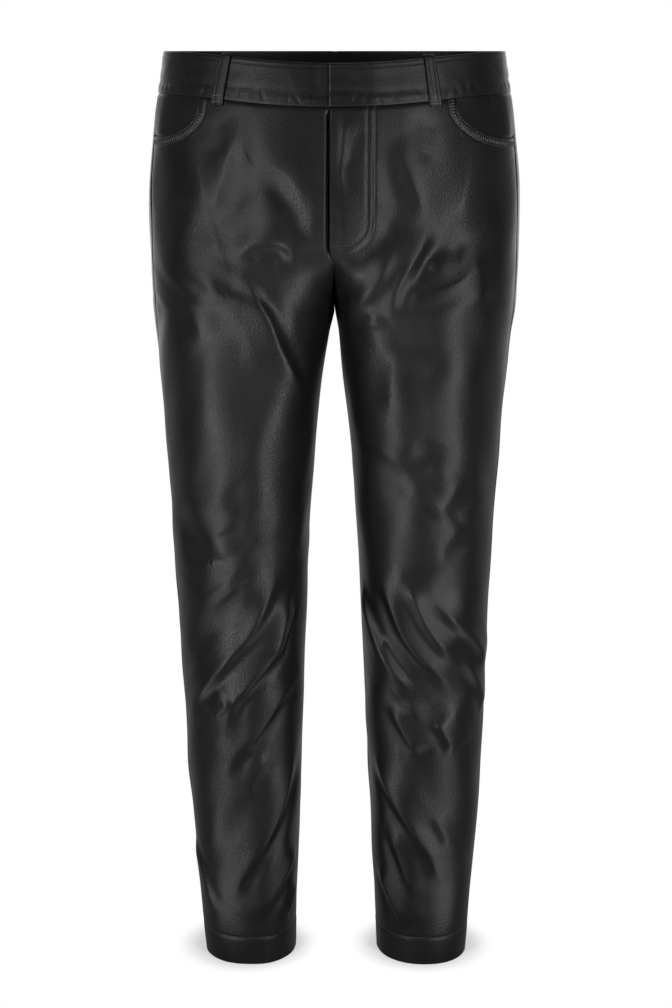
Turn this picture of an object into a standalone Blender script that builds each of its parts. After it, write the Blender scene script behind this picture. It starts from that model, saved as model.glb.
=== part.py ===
"""Faux leather trousers, worn shape with no wearer, built piece by piece as they are sewn.

Metres, +Z up, the front faces -Y and the wearer's left is +X. The origin is at the middle of the
waist, where the wearer holds the trousers. Each cut piece is a cloth wall of its own.

The surface of one half is walked by two numbers: z, and the girth u, which runs from 0 at the
centre front (or the inside of the leg) over 1 at the side to 2 at the centre back.
"""
import functools
import math

import bmesh
import bpy
from mathutils import Vector

# ---------------------------------------------------------------- driving sizes
SEAM_GAP = 0.0003          # between pieces sewn edge to edge, and between layers that touch
CLOTH = 0.0015             # faux leather with its woven backing
HEM_CLOTH = 0.0027         # the turned-up hem, two layers
BAND_CLOTH = 0.0024        # the waistband, two layers
BAND_HEIGHT = 0.040
WAIST_TOP = 0.020          # upper edge of the waistband at the sides and back
FRONT_DIP = 0.011          # how much lower the waist is cut at the centre front
DIP_ENDS = -0.100          # the dip has faded out at this height
HEM = -0.9315
HEM_DEPTH = 0.029
CROTCH = -0.2295
FRONT_RISE_STARTS = -0.160  # where the centre-front seam turns under the body
BACK_RISE_STARTS = -0.125
LEGS_PART = (-0.045, -0.262)  # between these heights the hips turn into two legs
SEAM_FALL = 0.8            # how softly the centre seam turns in under the body
HIP_ROUNDNESS = 2.15       # superellipse exponents, 2 is an ellipse
LEG_ROUNDNESS = 2.35
THIGHS_FULLER = 0.60       # added on the inside of the thighs, gone at the knees
KNEES = -0.500

LAP_EDGE = -0.0042         # the left front's edge, just past the centre towards the right
UNDERLAP = 0.0060          # the right front's edge under the lap
BAND_UNDERLAP = 0.0310     # the right waistband's end under the lap
LAP_LIFT = 0.0009          # the lap rises and the underlap sinks by this much
BAND_LAP_LIFT = 0.00140
BAND_STANDS_OUT = 0.0006   # the waistband's thickness outside the seam
LAP_FADES = (0.034, 0.062)  # distance from the centre over which the lap settles
UNDERLAP_FADES = (0.008, 0.022)
FLY_END = -0.168
LAP_CLOSES = -0.182        # the two fronts meet edge to edge from here down
ZIP_CLOTH = 0.0012
SHIELD_COLUMNS = (-0.008, 0.008, 0.022, 0.036)
ZIP_COLUMNS = (0.0063, 0.0145, 0.022, 0.0275)

POCKET_DEPTH = 0.0400      # from the waistband seam down to the mouth's lower end
POCKET_ROUNDNESS = 2.2     # superellipse exponent of the mouth's curve
FACING_UNDERLAP = 0.012    # how far the facing runs on behind the front

LOOP_WIDTH = 0.0115
LOOP_CLOTH = 0.0014
LOOP_RISE = 0.0021         # how far a loop's middle stands off the waistband
LOOP_REACH = (0.0004, 0.0035)  # past the waistband's upper and lower edge

CENTRE_MARGIN = 0.0002     # halves keep this far from the centre plane
HEM_STEP = 0.001           # height over which the second layer of the hem starts
PAST_CENTRE = -0.2         # girths below 0 lie past the centre front, down to here
STEP_OF_GIRTH = 0.004      # for the direction out of the cloth
DEEPEST_FOLD = 0.006
FOLD_TAPER = 0.6           # exponent of a fold's depth from its ends to its middle
FOLD_ENDS = (0.04, 0.96)   # shares along a fold where its depth stops changing
BLACK = (0.012, 0.012, 0.013)
INSIDE_BLACK = (0.008, 0.008, 0.008)
LEATHER_ROUGHNESS = 0.42

# one row a section, from the waist to the hem, for one half of the trousers: its outermost and
# innermost reach, its front, back and widest place, the side seam's girth, and the sideways lean
SECTION_COLUMNS = ("z", "outer", "inner", "front", "back", "middle", "side_seam", "lean")
SECTIONS = (
    (0.020, 0.1690, 0.0000, -0.0920, 0.0950, 0.0000, 0.880, 0.0000),
    (-0.020, 0.1750, 0.0000, -0.0985, 0.1020, 0.0010, 0.870, 0.0000),
    (-0.040, 0.1788, 0.0000, -0.1020, 0.1070, 0.0015, 0.865, 0.0000),
    (-0.066, 0.1822, 0.0000, -0.1055, 0.1140, 0.0020, 0.862, 0.0000),
    (-0.100, 0.1852, 0.0000, -0.1085, 0.1240, 0.0030, 0.862, 0.0000),
    (-0.140, 0.1865, 0.0000, -0.1100, 0.1310, 0.0040, 0.868, 0.0000),
    (-0.180, 0.1862, 0.0000, -0.1090, 0.1300, 0.0040, 0.880, 0.0000),
    (-0.2295, 0.1835, 0.0000, -0.1050, 0.1160, 0.0030, 0.900, 0.0000),
    (-0.258, 0.1805, 0.0054, -0.1015, 0.1020, 0.0020, 0.912, -0.0007),
    (-0.330, 0.1740, 0.0141, -0.0945, 0.0860, 0.0000, 0.925, -0.0015),
    (-0.383, 0.1703, 0.0196, -0.0890, 0.0790, -0.0010, 0.930, -0.0016),
    (-0.436, 0.1667, 0.0228, -0.0830, 0.0730, -0.0020, 0.932, -0.0016),
    (-0.490, 0.1642, 0.0261, -0.0770, 0.0690, -0.0020, 0.933, -0.0014),
    (-0.544, 0.1617, 0.0284, -0.0705, 0.0680, -0.0010, 0.934, -0.0011),
    (-0.600, 0.1600, 0.0306, -0.0650, 0.0690, 0.0010, 0.935, -0.0007),
    (-0.655, 0.1588, 0.0328, -0.0600, 0.0700, 0.0030, 0.936, -0.0001),
    (-0.710, 0.1568, 0.0354, -0.0570, 0.0690, 0.0040, 0.937, 0.0004),
    (-0.767, 0.1539, 0.0376, -0.0555, 0.0660, 0.0040, 0.938, 0.0008),
    (-0.824, 0.1496, 0.0400, -0.0550, 0.0620, 0.0030, 0.939, 0.0011),
    (-0.882, 0.1448, 0.0429, -0.0547, 0.0580, 0.0020, 0.940, 0.0014),
    (-0.9315, 0.1410, 0.0442, -0.0545, 0.0555, 0.0010, 0.940, 0.0018),
)

# the largest folds: soft troughs between two places on the surface, girth u and height z
FOLD_COLUMNS = ("half", "u_from", "z_from", "u_to", "z_to", "depth", "half_width")
RIGHT = -1
LEFT = 1
FOLDS = (
    (RIGHT, 0.42, -0.085, 0.20, -0.225, 0.0030, 0.016),
    (RIGHT, 0.56, -0.185, 0.22, -0.335, 0.0032, 0.015),
    (LEFT, 0.28, -0.150, 0.22, -0.255, 0.0030, 0.014),
    (LEFT, 0.30, -0.235, 0.62, -0.195, 0.0030, 0.015),
    (RIGHT, 0.60, -0.330, 0.62, -0.455, 0.0022, 0.018),
    (LEFT, 0.55, -0.330, 0.52, -0.470, 0.0022, 0.018),
    (RIGHT, 0.88, -0.425, 0.55, -0.505, 0.0034, 0.015),
    (LEFT, 0.82, -0.400, 0.50, -0.490, 0.0030, 0.015),
    (RIGHT, 0.22, -0.525, 0.78, -0.660, 0.0040, 0.015),
    (RIGHT, 0.12, -0.595, 0.68, -0.730, 0.0036, 0.014),
    (RIGHT, 0.14, -0.690, 0.52, -0.875, 0.0034, 0.015),
    (LEFT, 0.16, -0.545, 0.72, -0.650, 0.0040, 0.015),
    (LEFT, 0.14, -0.640, 0.62, -0.730, 0.0034, 0.014),
    (LEFT, 0.16, -0.705, 0.50, -0.870, 0.0034, 0.015),
    (RIGHT, 1.80, -0.255, 1.25, -0.300, 0.0030, 0.016),
    (LEFT, 1.78, -0.262, 1.28, -0.312, 0.0030, 0.016),
    (RIGHT, 1.75, -0.480, 1.25, -0.540, 0.0040, 0.016),
    (LEFT, 1.78, -0.495, 1.22, -0.530, 0.0040, 0.016),
    (RIGHT, 1.30, -0.575, 1.80, -0.640, 0.0034, 0.015),
    (LEFT, 1.25, -0.590, 1.75, -0.665, 0.0034, 0.015),
    (RIGHT, 1.35, -0.720, 1.78, -0.800, 0.0028, 0.015),
    (LEFT, 1.30, -0.735, 1.72, -0.790, 0.0028, 0.015),
)

# where the hip pocket's mouth leaves the waistband seam, measured across from the centre
POCKET_STARTS = {RIGHT: 0.130, LEFT: 0.117}

# belt loops: half, girth at the top and at the foot
LOOPS = {
    "belt_loop_front_right": (RIGHT, 0.398, 0.420),
    "belt_loop_front_left": (LEFT, 0.338, 0.350),
    "belt_loop_back_right": (RIGHT, 1.460, 1.460),
    "belt_loop_back_left": (LEFT, 1.460, 1.460),
    "belt_loop_back_centre": (LEFT, 2.000, 2.000),
}
HALF_NAMES = {RIGHT: "right", LEFT: "left"}

# heights of the leg pieces' rows below the waistband zone
ROWS = (-0.134, -0.168, -0.182, -0.200, -0.215, -0.225, -0.2305, -0.242, -0.262, -0.297, -0.335,
        -0.370, -0.403, -0.436, -0.466, -0.495, -0.523, -0.551, -0.579, -0.607,
        -0.635, -0.664, -0.694, -0.725, -0.757, -0.790, -0.824, -0.860,
        HEM + HEM_DEPTH + HEM_STEP, HEM + HEM_DEPTH, HEM)
TOP_ROWS = 4               # rows between the waistband seam and DIP_ENDS

# each leg piece is one cut of cloth built in three lengths, so that its collision hulls are short
LEG_CUTS = (-0.335, -0.607)
LEG_LENGTHS = ("thigh", "knee", "shin")

# columns of a front: across from the centre beside the fly, then shares of the way to the side
LAP_COLUMNS = (0.008, 0.022, 0.036, 0.062)
SIDE_SHARES = (0.12, 0.25, 0.37, 0.45, 0.51, 0.58, 0.66, 0.76, 0.88, 1.0)
FLY_COLUMNS_END = (-0.182, -0.240)
BACK_COLUMNS = 10
BAND_COLUMNS = 24
BAND_ENDS = {RIGHT: (-BAND_UNDERLAP, -0.022, -0.008), LEFT: (LAP_EDGE - 0.001,)}


# ---------------------------------------------------------------- the surface
def smooth(low, high, value):
    """0 below low, 1 above high, an S-curve between; low may be the larger number."""
    share = min(max((value - low) / (high - low), 0.0), 1.0)
    return share * share * (3.0 - 2.0 * share)


def slow_smooth(low, high, value):
    """As smooth, with no sudden bend at either end."""
    share = min(max((value - low) / (high - low), 0.0), 1.0)
    return share**3 * (10.0 - 15.0 * share + 6.0 * share * share)


def section(name, z):
    """A column of SECTIONS at height z, on a curve through its rows."""
    column = SECTION_COLUMNS.index(name)
    z = min(max(z, SECTIONS[-1][0]), SECTIONS[0][0])
    row = 1
    while row < len(SECTIONS) - 1 and SECTIONS[row][0] > z:
        row += 1
    upper, lower = SECTIONS[row - 1], SECTIONS[row]
    above = SECTIONS[max(row - 2, 0)]
    below = SECTIONS[min(row + 1, len(SECTIONS) - 1)]
    span = lower[0] - upper[0]
    share = (z - upper[0]) / span
    slope_upper = (lower[column] - above[column]) / (lower[0] - above[0]) * span
    slope_lower = (below[column] - upper[column]) / (below[0] - upper[0]) * span
    return ((2 * share**3 - 3 * share**2 + 1) * upper[column]
            + (share**3 - 2 * share**2 + share) * slope_upper
            + (3 * share**2 - 2 * share**3) * lower[column]
            + (share**3 - share**2) * slope_lower)


def power(value, exponent):
    """A signed power, for superellipses."""
    return math.copysign(abs(value) ** exponent, value)


def seam_depth(front, z):
    """How far out the centre seam lies, as a share of the full depth: 1 down to 0 at the crotch."""
    rise_starts = FRONT_RISE_STARTS if front else BACK_RISE_STARTS
    turn = min(max((rise_starts - z) / (rise_starts - CROTCH), 0.0), 1.0)
    return (1.0 - turn * turn) ** SEAM_FALL


@functools.lru_cache(maxsize=None)
def outline(u, z):
    """Across and forward position on the left half, with no folds; below 0 it is the other half."""
    if u < 0.0:
        across, forward = outline(-u, z)
        return -across, forward
    outer = section("outer", z)
    inner = section("inner", z)
    middle = section("middle", z)
    front = u <= 1.0
    depth = middle - section("front", z) if front else section("back", z) - middle
    from_centre = u if front else 2.0 - u

    hip = from_centre * math.pi / 2
    hip_across = outer * power(math.sin(hip), 2 / HIP_ROUNDNESS)
    hip_out = power(math.cos(hip), 2 / HIP_ROUNDNESS)

    leg = from_centre * math.pi
    inside = from_centre < 0.5
    fuller = THIGHS_FULLER * smooth(KNEES, CROTCH, z) if inside else 0.0
    roundness = 2 / (LEG_ROUNDNESS + fuller)
    leg_across = (outer + inner) / 2 - (outer - inner) / 2 * power(math.cos(leg), roundness)
    leg_out = power(math.sin(leg), roundness)

    parted = slow_smooth(LEGS_PART[0], LEGS_PART[1], z)
    if inside and parted > 0.0:
        at_seam = 1.0 - (1.0 - seam_depth(front, z)) / parted
        leg_out = at_seam + (1.0 - at_seam) * leg_out
    across = hip_across + (leg_across - hip_across) * parted
    out = depth * (hip_out + (leg_out - hip_out) * parted)
    return across, middle + (-out if front else out)


def outward(u, z):
    """Unit vector out of the cloth, level, on the left half."""
    if u < 0.0:
        out_x, out_y = outward(-u, z)
        return -out_x, out_y
    near = outline(max(u - STEP_OF_GIRTH, 0.0), z)
    far = outline(min(u + STEP_OF_GIRTH, 2.0), z)
    along = Vector((far[0] - near[0], far[1] - near[1])).normalized()
    return along.y, -along.x


def fold_depth(half, u, z):
    """How far the folds of this half sink the cloth at one place."""
    across, forward = outline(u, z)
    depth = 0.0
    for row in FOLDS:
        fold = dict(zip(FOLD_COLUMNS, row))
        if fold["half"] != half:
            continue
        slant = fold["z_to"] - fold["z_from"]
        share = min(max((z - fold["z_from"]) / slant, 0.0), 1.0)
        on_u = fold["u_from"] + (fold["u_to"] - fold["u_from"]) * share
        on_z = fold["z_from"] + (fold["z_to"] - fold["z_from"]) * share
        on_across, on_forward = outline(on_u, on_z)
        start = outline(fold["u_from"], fold["z_from"])
        end = outline(fold["u_to"], fold["z_to"])
        run = math.dist(start, end)
        lean = abs(slant) / math.hypot(slant, run)
        off = math.dist((across, forward), (on_across, on_forward)) * lean
        off = math.hypot(off, z - on_z)
        taper = math.sin(math.pi * min(max(share, FOLD_ENDS[0]), FOLD_ENDS[1])) ** FOLD_TAPER
        depth += fold["depth"] * taper * math.exp(-((off / fold["half_width"]) ** 2))
    return min(depth, DEEPEST_FOLD)


def front_dip(u):
    """How much lower the waist is cut at this girth."""
    if u >= 1.0:
        return 0.0
    return FRONT_DIP * math.cos(u * math.pi / 2) ** 4


def point(half, u, z, lift=0.0):
    """A place on one half, lifted out of the surface."""
    across, forward = outline(u, z)
    out_x, out_y = outward(u, z)
    lift -= fold_depth(half, u, z)
    return Vector((half * (across + lift * out_x) + section("lean", z), forward + lift * out_y, z))


def girth_at(across, z):
    """The girth u on the front where the surface is this far across, negative past the centre."""
    low, high = PAST_CENTRE, 1.0
    for _ in range(40):
        middle = (low + high) / 2
        if outline(middle, z)[0] < across:
            low = middle
        else:
            high = middle
    return (low + high) / 2


# ---------------------------------------------------------------- building a cloth wall
def cloth_wall(name, outer, inner, collection, colour):
    """A closed wall from two equal grids of points, rows running down and columns outwards."""
    rows, columns = len(outer), len(outer[0])
    mesh = bpy.data.meshes.new(name)
    build = bmesh.new()
    skin = [[build.verts.new(place) for place in row] for row in outer]
    back = [[build.verts.new(place) for place in row] for row in inner]
    for row in range(rows - 1):
        for column in range(columns - 1):
            corners = ((row, column), (row + 1, column), (row + 1, column + 1), (row, column + 1))
            build.faces.new([skin[r][c] for r, c in corners])
            build.faces.new([back[r][c] for r, c in reversed(corners)])
    rim = [(0, c) for c in range(columns)]
    rim += [(r, columns - 1) for r in range(1, rows)]
    rim += [(rows - 1, c) for c in range(columns - 2, -1, -1)]
    rim += [(r, 0) for r in range(rows - 2, 0, -1)]
    for number, (r, c) in enumerate(rim):
        next_r, next_c = rim[(number + 1) % len(rim)]
        build.faces.new((skin[r][c], skin[next_r][next_c], back[next_r][next_c], back[r][c]))
    bmesh.ops.triangulate(build, faces=build.faces[:])
    bmesh.ops.recalc_face_normals(build, faces=build.faces[:])
    if build.calc_volume(signed=True) < 0:
        bmesh.ops.reverse_faces(build, faces=build.faces[:])
    build.to_mesh(mesh)
    build.free()
    piece = bpy.data.objects.new(name, mesh)
    collection.objects.link(piece)
    mesh.materials.append(finish(name, colour))
    return piece


def finish(name, colour):
    """A Principled material of its own for one piece."""
    material = bpy.data.materials.new(name + "_finish")
    material.use_nodes = True
    shader = material.node_tree.nodes["Principled BSDF"]
    shader.inputs["Base Color"].default_value = (*colour, 1.0)
    shader.inputs["Roughness"].default_value = LEATHER_ROUGHNESS
    return material


# ---------------------------------------------------------------- front legs
def pocket_mouth(half, u, side_u):
    """Height of the pocket mouth's edge at this girth, or the waistband seam before it starts."""
    seam = WAIST_TOP - BAND_HEIGHT - SEAM_GAP
    start_u = girth_at(POCKET_STARTS[half], seam)
    if u <= start_u:
        return seam - front_dip(u)
    start_x = outline(start_u, seam)[0]
    side_x = outline(side_u, seam - POCKET_DEPTH)[0]
    across = min(max((outline(u, seam - POCKET_DEPTH / 2)[0] - start_x) / (side_x - start_x), 0), 1)
    drop = math.sqrt(1.0 - (1.0 - across) ** POCKET_ROUNDNESS)
    return seam - front_dip(start_u) - POCKET_DEPTH * drop


def lap_share(z):
    """1 beside the fly, fading out below the place where the fronts meet."""
    return smooth(LAP_CLOSES - 0.030, LAP_CLOSES, z)


def front_edge(half, z):
    """Girth of a front's inner edge: past the centre at the fly, at the seam below it."""
    open_x = LAP_EDGE if half == LEFT else -UNDERLAP
    share = smooth(LAP_CLOSES, FLY_END, z)
    across = SEAM_GAP / 2 + (open_x - SEAM_GAP / 2) * share
    if share > 0.0:
        return girth_at(across, z)
    return 0.0


def front_lift(half, u, z):
    """The lap stands a little proud and the underlap sinks below it."""
    across = outline(u, z)[0]
    if half == LEFT:
        return LAP_LIFT * lap_share(z) * smooth(LAP_FADES[1], LAP_FADES[0], across)
    return -LAP_LIFT * lap_share(z) * smooth(UNDERLAP_FADES[1], UNDERLAP_FADES[0], across)


def clear_of_centre(half, place, free):
    """Keep a piece on its own side of the centre seam, except where the fronts lap."""
    if not free:
        place.x = half * max(half * place.x, CENTRE_MARGIN)
    return place


def leg_row_heights(top):
    """Heights down one column: from the piece's top edge into the common rows."""
    heights = [top + (DIP_ENDS - top) * number / TOP_ROWS for number in range(TOP_ROWS + 1)]
    for z in ROWS:
        if z in LEG_CUTS:
            heights += [z + SEAM_GAP / 2, z - SEAM_GAP / 2]
        else:
            heights.append(z)
    return heights


def leg_lengths(name, outer, inner, collection):
    """A leg piece's two grids built as its lengths, a seam's gap apart."""
    ends = [TOP_ROWS + 2 + ROWS.index(cut) + number for number, cut in enumerate(LEG_CUTS)]
    starts = [0] + ends
    for length, start, end in zip(LEG_LENGTHS, starts, ends + [len(outer)]):
        cloth_wall(f"{name}_{length}", outer[start:end], inner[start:end], collection, BLACK)


def cloth_thickness(z):
    """One layer, or two in the turned-up hem."""
    if z < HEM + HEM_DEPTH + HEM_STEP / 2:
        return HEM_CLOTH
    return CLOTH


def seam_inset(u, z, way):
    """The girth half a seam's gap away from the seam at u, going up or down (way 1 or -1)."""
    seam = outline(u, z)
    low, high = 0.0, 0.02
    for _ in range(30):
        middle = (low + high) / 2
        if math.dist(seam, outline(u + way * middle, z)) < SEAM_GAP / 2:
            low = middle
        else:
            high = middle
    return u + way * high


@functools.lru_cache(maxsize=None)
def front_columns(half, z):
    """Girths of a front's columns at one height, from its inner edge to the side seam."""
    side_u = seam_inset(section("side_seam", z), z, -1)
    start_u = front_edge(half, z)
    if z < CROTCH:
        start_u = seam_inset(0.0, z, 1)
    beside_fly = [start_u] + [girth_at(across, z) for across in LAP_COLUMNS]
    lap_u = beside_fly[-1]
    beside_fly += [lap_u + (side_u - lap_u) * share for share in SIDE_SHARES]
    last = len(beside_fly) - 1
    even = [start_u + (side_u - start_u) * number / last for number in range(last + 1)]
    blend = smooth(FLY_COLUMNS_END[0], FLY_COLUMNS_END[1], z)
    return [first + (second - first) * blend for first, second in zip(beside_fly, even)]


def front_place(half, row, column):
    """Girth and height of one grid place on a front, rows counted down from its top edge."""
    z = leg_row_heights(WAIST_TOP - BAND_HEIGHT)[row]
    u = 0.0
    for _ in range(4):
        columns = front_columns(half, z)
        u = columns[column]
        z = leg_row_heights(pocket_mouth(half, u, columns[-1]))[row]
    return u, z


def front_leg(half, collection):
    """One front: lap or underlap at the fly, pocket mouth cut away, side and inside seams."""
    outer, inner = [], []
    for row in range(len(leg_row_heights(DIP_ENDS))):
        outer_row, inner_row = [], []
        for column in range(1 + len(LAP_COLUMNS) + len(SIDE_SHARES)):
            u, z = front_place(half, row, column)
            lift = front_lift(half, u, z)
            free = z > LAP_CLOSES
            skin = point(half, u, z, lift)
            back = point(half, u, z, lift - cloth_thickness(z))
            outer_row.append(clear_of_centre(half, skin, free))
            inner_row.append(clear_of_centre(half, back, free))
        outer.append(outer_row)
        inner.append(inner_row)
    leg_lengths("front_" + HALF_NAMES[half], outer, inner, collection)


# ---------------------------------------------------------------- back legs
def back_leg(half, collection):
    """One back, from the side seam round to the centre back and the inside of the leg."""
    outer, inner = [], []
    for z in leg_row_heights(WAIST_TOP - BAND_HEIGHT - SEAM_GAP):
        outer_row, inner_row = [], []
        side_u = seam_inset(section("side_seam", z), z, 1)
        end_u = 2.0
        if z < CROTCH:
            end_u = seam_inset(2.0, z, -1)
        for column in range(BACK_COLUMNS + 1):
            u = side_u + (end_u - side_u) * column / BACK_COLUMNS
            dip = front_dip(u) * smooth(DIP_ENDS, WAIST_TOP - BAND_HEIGHT, z)
            skin = point(half, u, z - dip)
            back = point(half, u, z - dip, -cloth_thickness(z))
            outer_row.append(clear_of_centre(half, skin, False))
            inner_row.append(clear_of_centre(half, back, False))
        outer.append(outer_row)
        inner.append(inner_row)
    leg_lengths("back_" + HALF_NAMES[half], outer, inner, collection)


# ---------------------------------------------------------------- hip pocket facings
def pocket_facing(half, collection):
    """The cloth seen inside the pocket mouth, running on behind the front's edge."""
    rows = 6
    seam = WAIST_TOP - BAND_HEIGHT - SEAM_GAP
    foot = seam - POCKET_DEPTH - FACING_UNDERLAP
    sink = CLOTH + SEAM_GAP * 2
    first = len(LAP_COLUMNS) + 2
    outer, inner = [], []
    for row in range(rows + 1):
        z = seam + (foot - seam) * row / rows
        outer_row, inner_row = [], []
        for u in front_columns(half, z)[first:]:
            height = z - front_dip(u) * smooth(foot, seam, z)
            outer_row.append(point(half, u, height, -sink))
            inner_row.append(point(half, u, height, -sink - CLOTH))
        outer.append(outer_row)
        inner.append(inner_row)
    return cloth_wall("pocket_facing_" + HALF_NAMES[half], outer, inner, collection, BLACK)


# ---------------------------------------------------------------- waistband
def band_columns(half, z):
    """Girths of a waistband half's columns, from its lapped front end to the centre back."""
    girths = [girth_at(across, z) for across in BAND_ENDS[half] + LAP_COLUMNS]
    rest = BAND_COLUMNS - len(LAP_COLUMNS)
    last = girths[-1]
    return girths + [last + (2.0 - last) * number / rest for number in range(1, rest + 1)]


def band_lift(half, u, z):
    """The left end laps over the right one."""
    across = outline(u, z)[0]
    if half == LEFT:
        return BAND_LAP_LIFT * smooth(LAP_FADES[1], LAP_FADES[0], across)
    return -BAND_LAP_LIFT * smooth(UNDERLAP_FADES[1], UNDERLAP_FADES[0], across)


def waistband(half, collection):
    """Half of the waistband, from its lapped front end to the centre-back seam."""
    rows = 3
    outer, inner = [], []
    for row in range(rows + 1):
        z = WAIST_TOP - BAND_HEIGHT * row / rows
        outer_row, inner_row = [], []
        for u in band_columns(half, z):
            lift = band_lift(half, u, z) + BAND_STANDS_OUT
            height = z - front_dip(u)
            skin = point(half, u, height, lift)
            back = point(half, u, height, lift - BAND_CLOTH)
            outer_row.append(clear_of_centre(half, skin, u < 1.0))
            inner_row.append(clear_of_centre(half, back, u < 1.0))
        outer.append(outer_row)
        inner.append(inner_row)
    return cloth_wall("waistband_" + HALF_NAMES[half], outer, inner, collection, BLACK)


# ---------------------------------------------------------------- fly, behind the lap
def fly_layer(name, columns, sink, collection, colour):
    """A strip behind the lap, its columns across towards the wearer's left."""
    outer, inner = [], []
    for row in range(TOP_ROWS + 2 + ROWS.index(FLY_END)):
        outer_row, inner_row = [], []
        for across in columns:
            z = WAIST_TOP - BAND_HEIGHT
            for _ in range(3):
                u = girth_at(across, z)
                top = WAIST_TOP - BAND_HEIGHT - SEAM_GAP - front_dip(abs(u))
                z = leg_row_heights(top)[row]
            outer_row.append(point(LEFT, u, z, -sink))
            inner_row.append(point(LEFT, u, z, -sink - ZIP_CLOTH))
        outer.append(outer_row)
        inner.append(inner_row)
    return cloth_wall(name, outer, inner, collection, colour)


# ---------------------------------------------------------------- belt loops
def belt_loop(name, collection):
    """A folded strap tacked above and below the waistband, standing a little off it."""
    half, top_u, foot_u = LOOPS[name]
    steps = 8
    top = WAIST_TOP + LOOP_REACH[0]
    foot = WAIST_TOP - BAND_HEIGHT - LOOP_REACH[1]
    reach = LOOP_WIDTH / 2
    outer, inner = [], []
    for step in range(steps + 1):
        share = step / steps
        z = top + (foot - top) * share
        u = top_u + (foot_u - top_u) * share
        height = z - front_dip(u)
        rise = SEAM_GAP + BAND_STANDS_OUT + LOOP_RISE * math.sin(math.pi * share) ** 0.5
        rise += band_lift(half, u, z)
        middle = point(half, min(u, 2.0), height, rise)
        out_x, out_y = outward(min(u, 1.999), height)
        out = Vector((half * out_x, out_y, 0.0))
        along = Vector((-out.y, out.x, 0.0))
        outer.append([middle + along * reach * way + out * LOOP_CLOTH for way in (-1, 0, 1)])
        inner.append([middle + along * reach * way for way in (-1, 0, 1)])
    return cloth_wall(name, outer, inner, collection, BLACK)


# ---------------------------------------------------------------- the trousers
def main():
    for old in list(bpy.data.objects):
        bpy.data.objects.remove(old, do_unlink=True)
    trousers = bpy.data.collections.new("faux_leather_trousers")
    bpy.context.scene.collection.children.link(trousers)
    for half in (RIGHT, LEFT):
        front_leg(half, trousers)
        back_leg(half, trousers)
        pocket_facing(half, trousers)
        waistband(half, trousers)
    behind_lap = LAP_LIFT + SEAM_GAP / 2
    behind_front = LAP_LIFT + CLOTH + SEAM_GAP
    fly_layer("fly_zip", ZIP_COLUMNS, behind_lap, trousers, INSIDE_BLACK)
    fly_layer("fly_shield", SHIELD_COLUMNS, behind_front, trousers, BLACK)
    for name in LOOPS:
        belt_loop(name, trousers)


main()
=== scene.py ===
"""Looks of the faux leather trousers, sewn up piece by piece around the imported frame.

Metres, +Z up. The front faces -Y and the wearer's left is +X. Every place on the cloth is given
by its half, its girth (0 centre front or inside of the leg, 1 side, 2 centre back) and its height.
"""
import math

import bpy
import numpy as np
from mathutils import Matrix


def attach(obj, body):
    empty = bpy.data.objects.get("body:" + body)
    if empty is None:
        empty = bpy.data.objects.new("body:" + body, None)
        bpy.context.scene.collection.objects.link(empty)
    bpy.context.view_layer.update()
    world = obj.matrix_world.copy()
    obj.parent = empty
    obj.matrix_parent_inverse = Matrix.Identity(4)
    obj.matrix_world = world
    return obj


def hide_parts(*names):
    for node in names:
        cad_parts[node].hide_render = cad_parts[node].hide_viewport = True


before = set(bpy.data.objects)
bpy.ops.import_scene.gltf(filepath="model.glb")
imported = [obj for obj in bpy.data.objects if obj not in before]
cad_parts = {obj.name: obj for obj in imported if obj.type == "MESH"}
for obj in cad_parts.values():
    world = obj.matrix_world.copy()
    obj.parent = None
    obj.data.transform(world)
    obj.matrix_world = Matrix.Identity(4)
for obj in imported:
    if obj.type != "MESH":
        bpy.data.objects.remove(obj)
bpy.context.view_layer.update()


# ================================================================ the fronts
# Each front is one cut of black faux leather, a soft polyurethane skin on a knitted backing.
# It runs from the waistband seam and the scooped pocket mouth to the turned-up hem, and the left
# one laps over the right one at the fly. The cloth is 1.5 mm thick and creases in soft drag lines.
MM = 0.001
RIGHT, LEFT = -1, 1
HALF_NAMES = {RIGHT: "right", LEFT: "left"}
CLOTH = 1.5 * MM
HEM_CLOTH = 2.7 * MM
WAIST_TOP = 0.020
BAND_HEIGHT = 0.040
BAND_SEAM = WAIST_TOP - BAND_HEIGHT
FRONT_DIP = 0.011
DIP_ENDS = -0.100
HEM = -0.9315
HEM_STITCHES = -0.9015
CROTCH = -0.2295
FRONT_RISE_STARTS = -0.160
BACK_RISE_STARTS = -0.125
LEGS_PART = (-0.045, -0.262)
SEAM_FALL = 1.3            # how softly the centre seam turns in under the body
HIP_ROUNDNESS = 2.15
LEG_ROUNDNESS = 2.35
THIGHS_FULLER = 0.60
KNEES = -0.500
LAP_EDGE = -0.0042
UNDERLAP = 0.0060
LAP_LIFT = 0.9 * MM
LAP_FADES = (0.062, 0.034)         # across, from no rise at all to all of it
UNDERLAP_FADES = (0.022, 0.008)
LAP_SETTLES = 0.030        # the height over which lap and underlap settle above the seam
LAP_PUSHES = 4.0 * MM      # the lap's edge pushes the cloth beneath it in
LAP_PUSH_FULL = -0.042     # from this height downwards
LAP_PUSH_FADES = 0.020     # above the lap's end
LAP_BENDS = (-0.0095, -0.0045)
FLY_END = -0.168
LAP_CLOSES = -0.182
POCKET_DEPTH = 0.0400
POCKET_STARTS = {RIGHT: 0.130, LEFT: 0.117}
POCKET_ROUNDNESS = 2.2
SEAM_SINKS = 1.5 * MM      # sewn edges turn inwards by this much
SEAM_TURNS = 1.7 * MM      # over this width
SEAM_TUCK = 2.5 * MM       # the panels run on above the waistband seam by this much
TUCK_SLOPE = 0.55
SIDE_SEAM_CALM = 0.75      # the share of its sink that it loses beside the pocket facing
SIDE_SEAM_CALMS = (-0.072, -0.058)
CROTCH_BLEND = 3 * MM
SEAM_HOLDS = 12 * MM       # the centre seam keeps its place across within this distance
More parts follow.
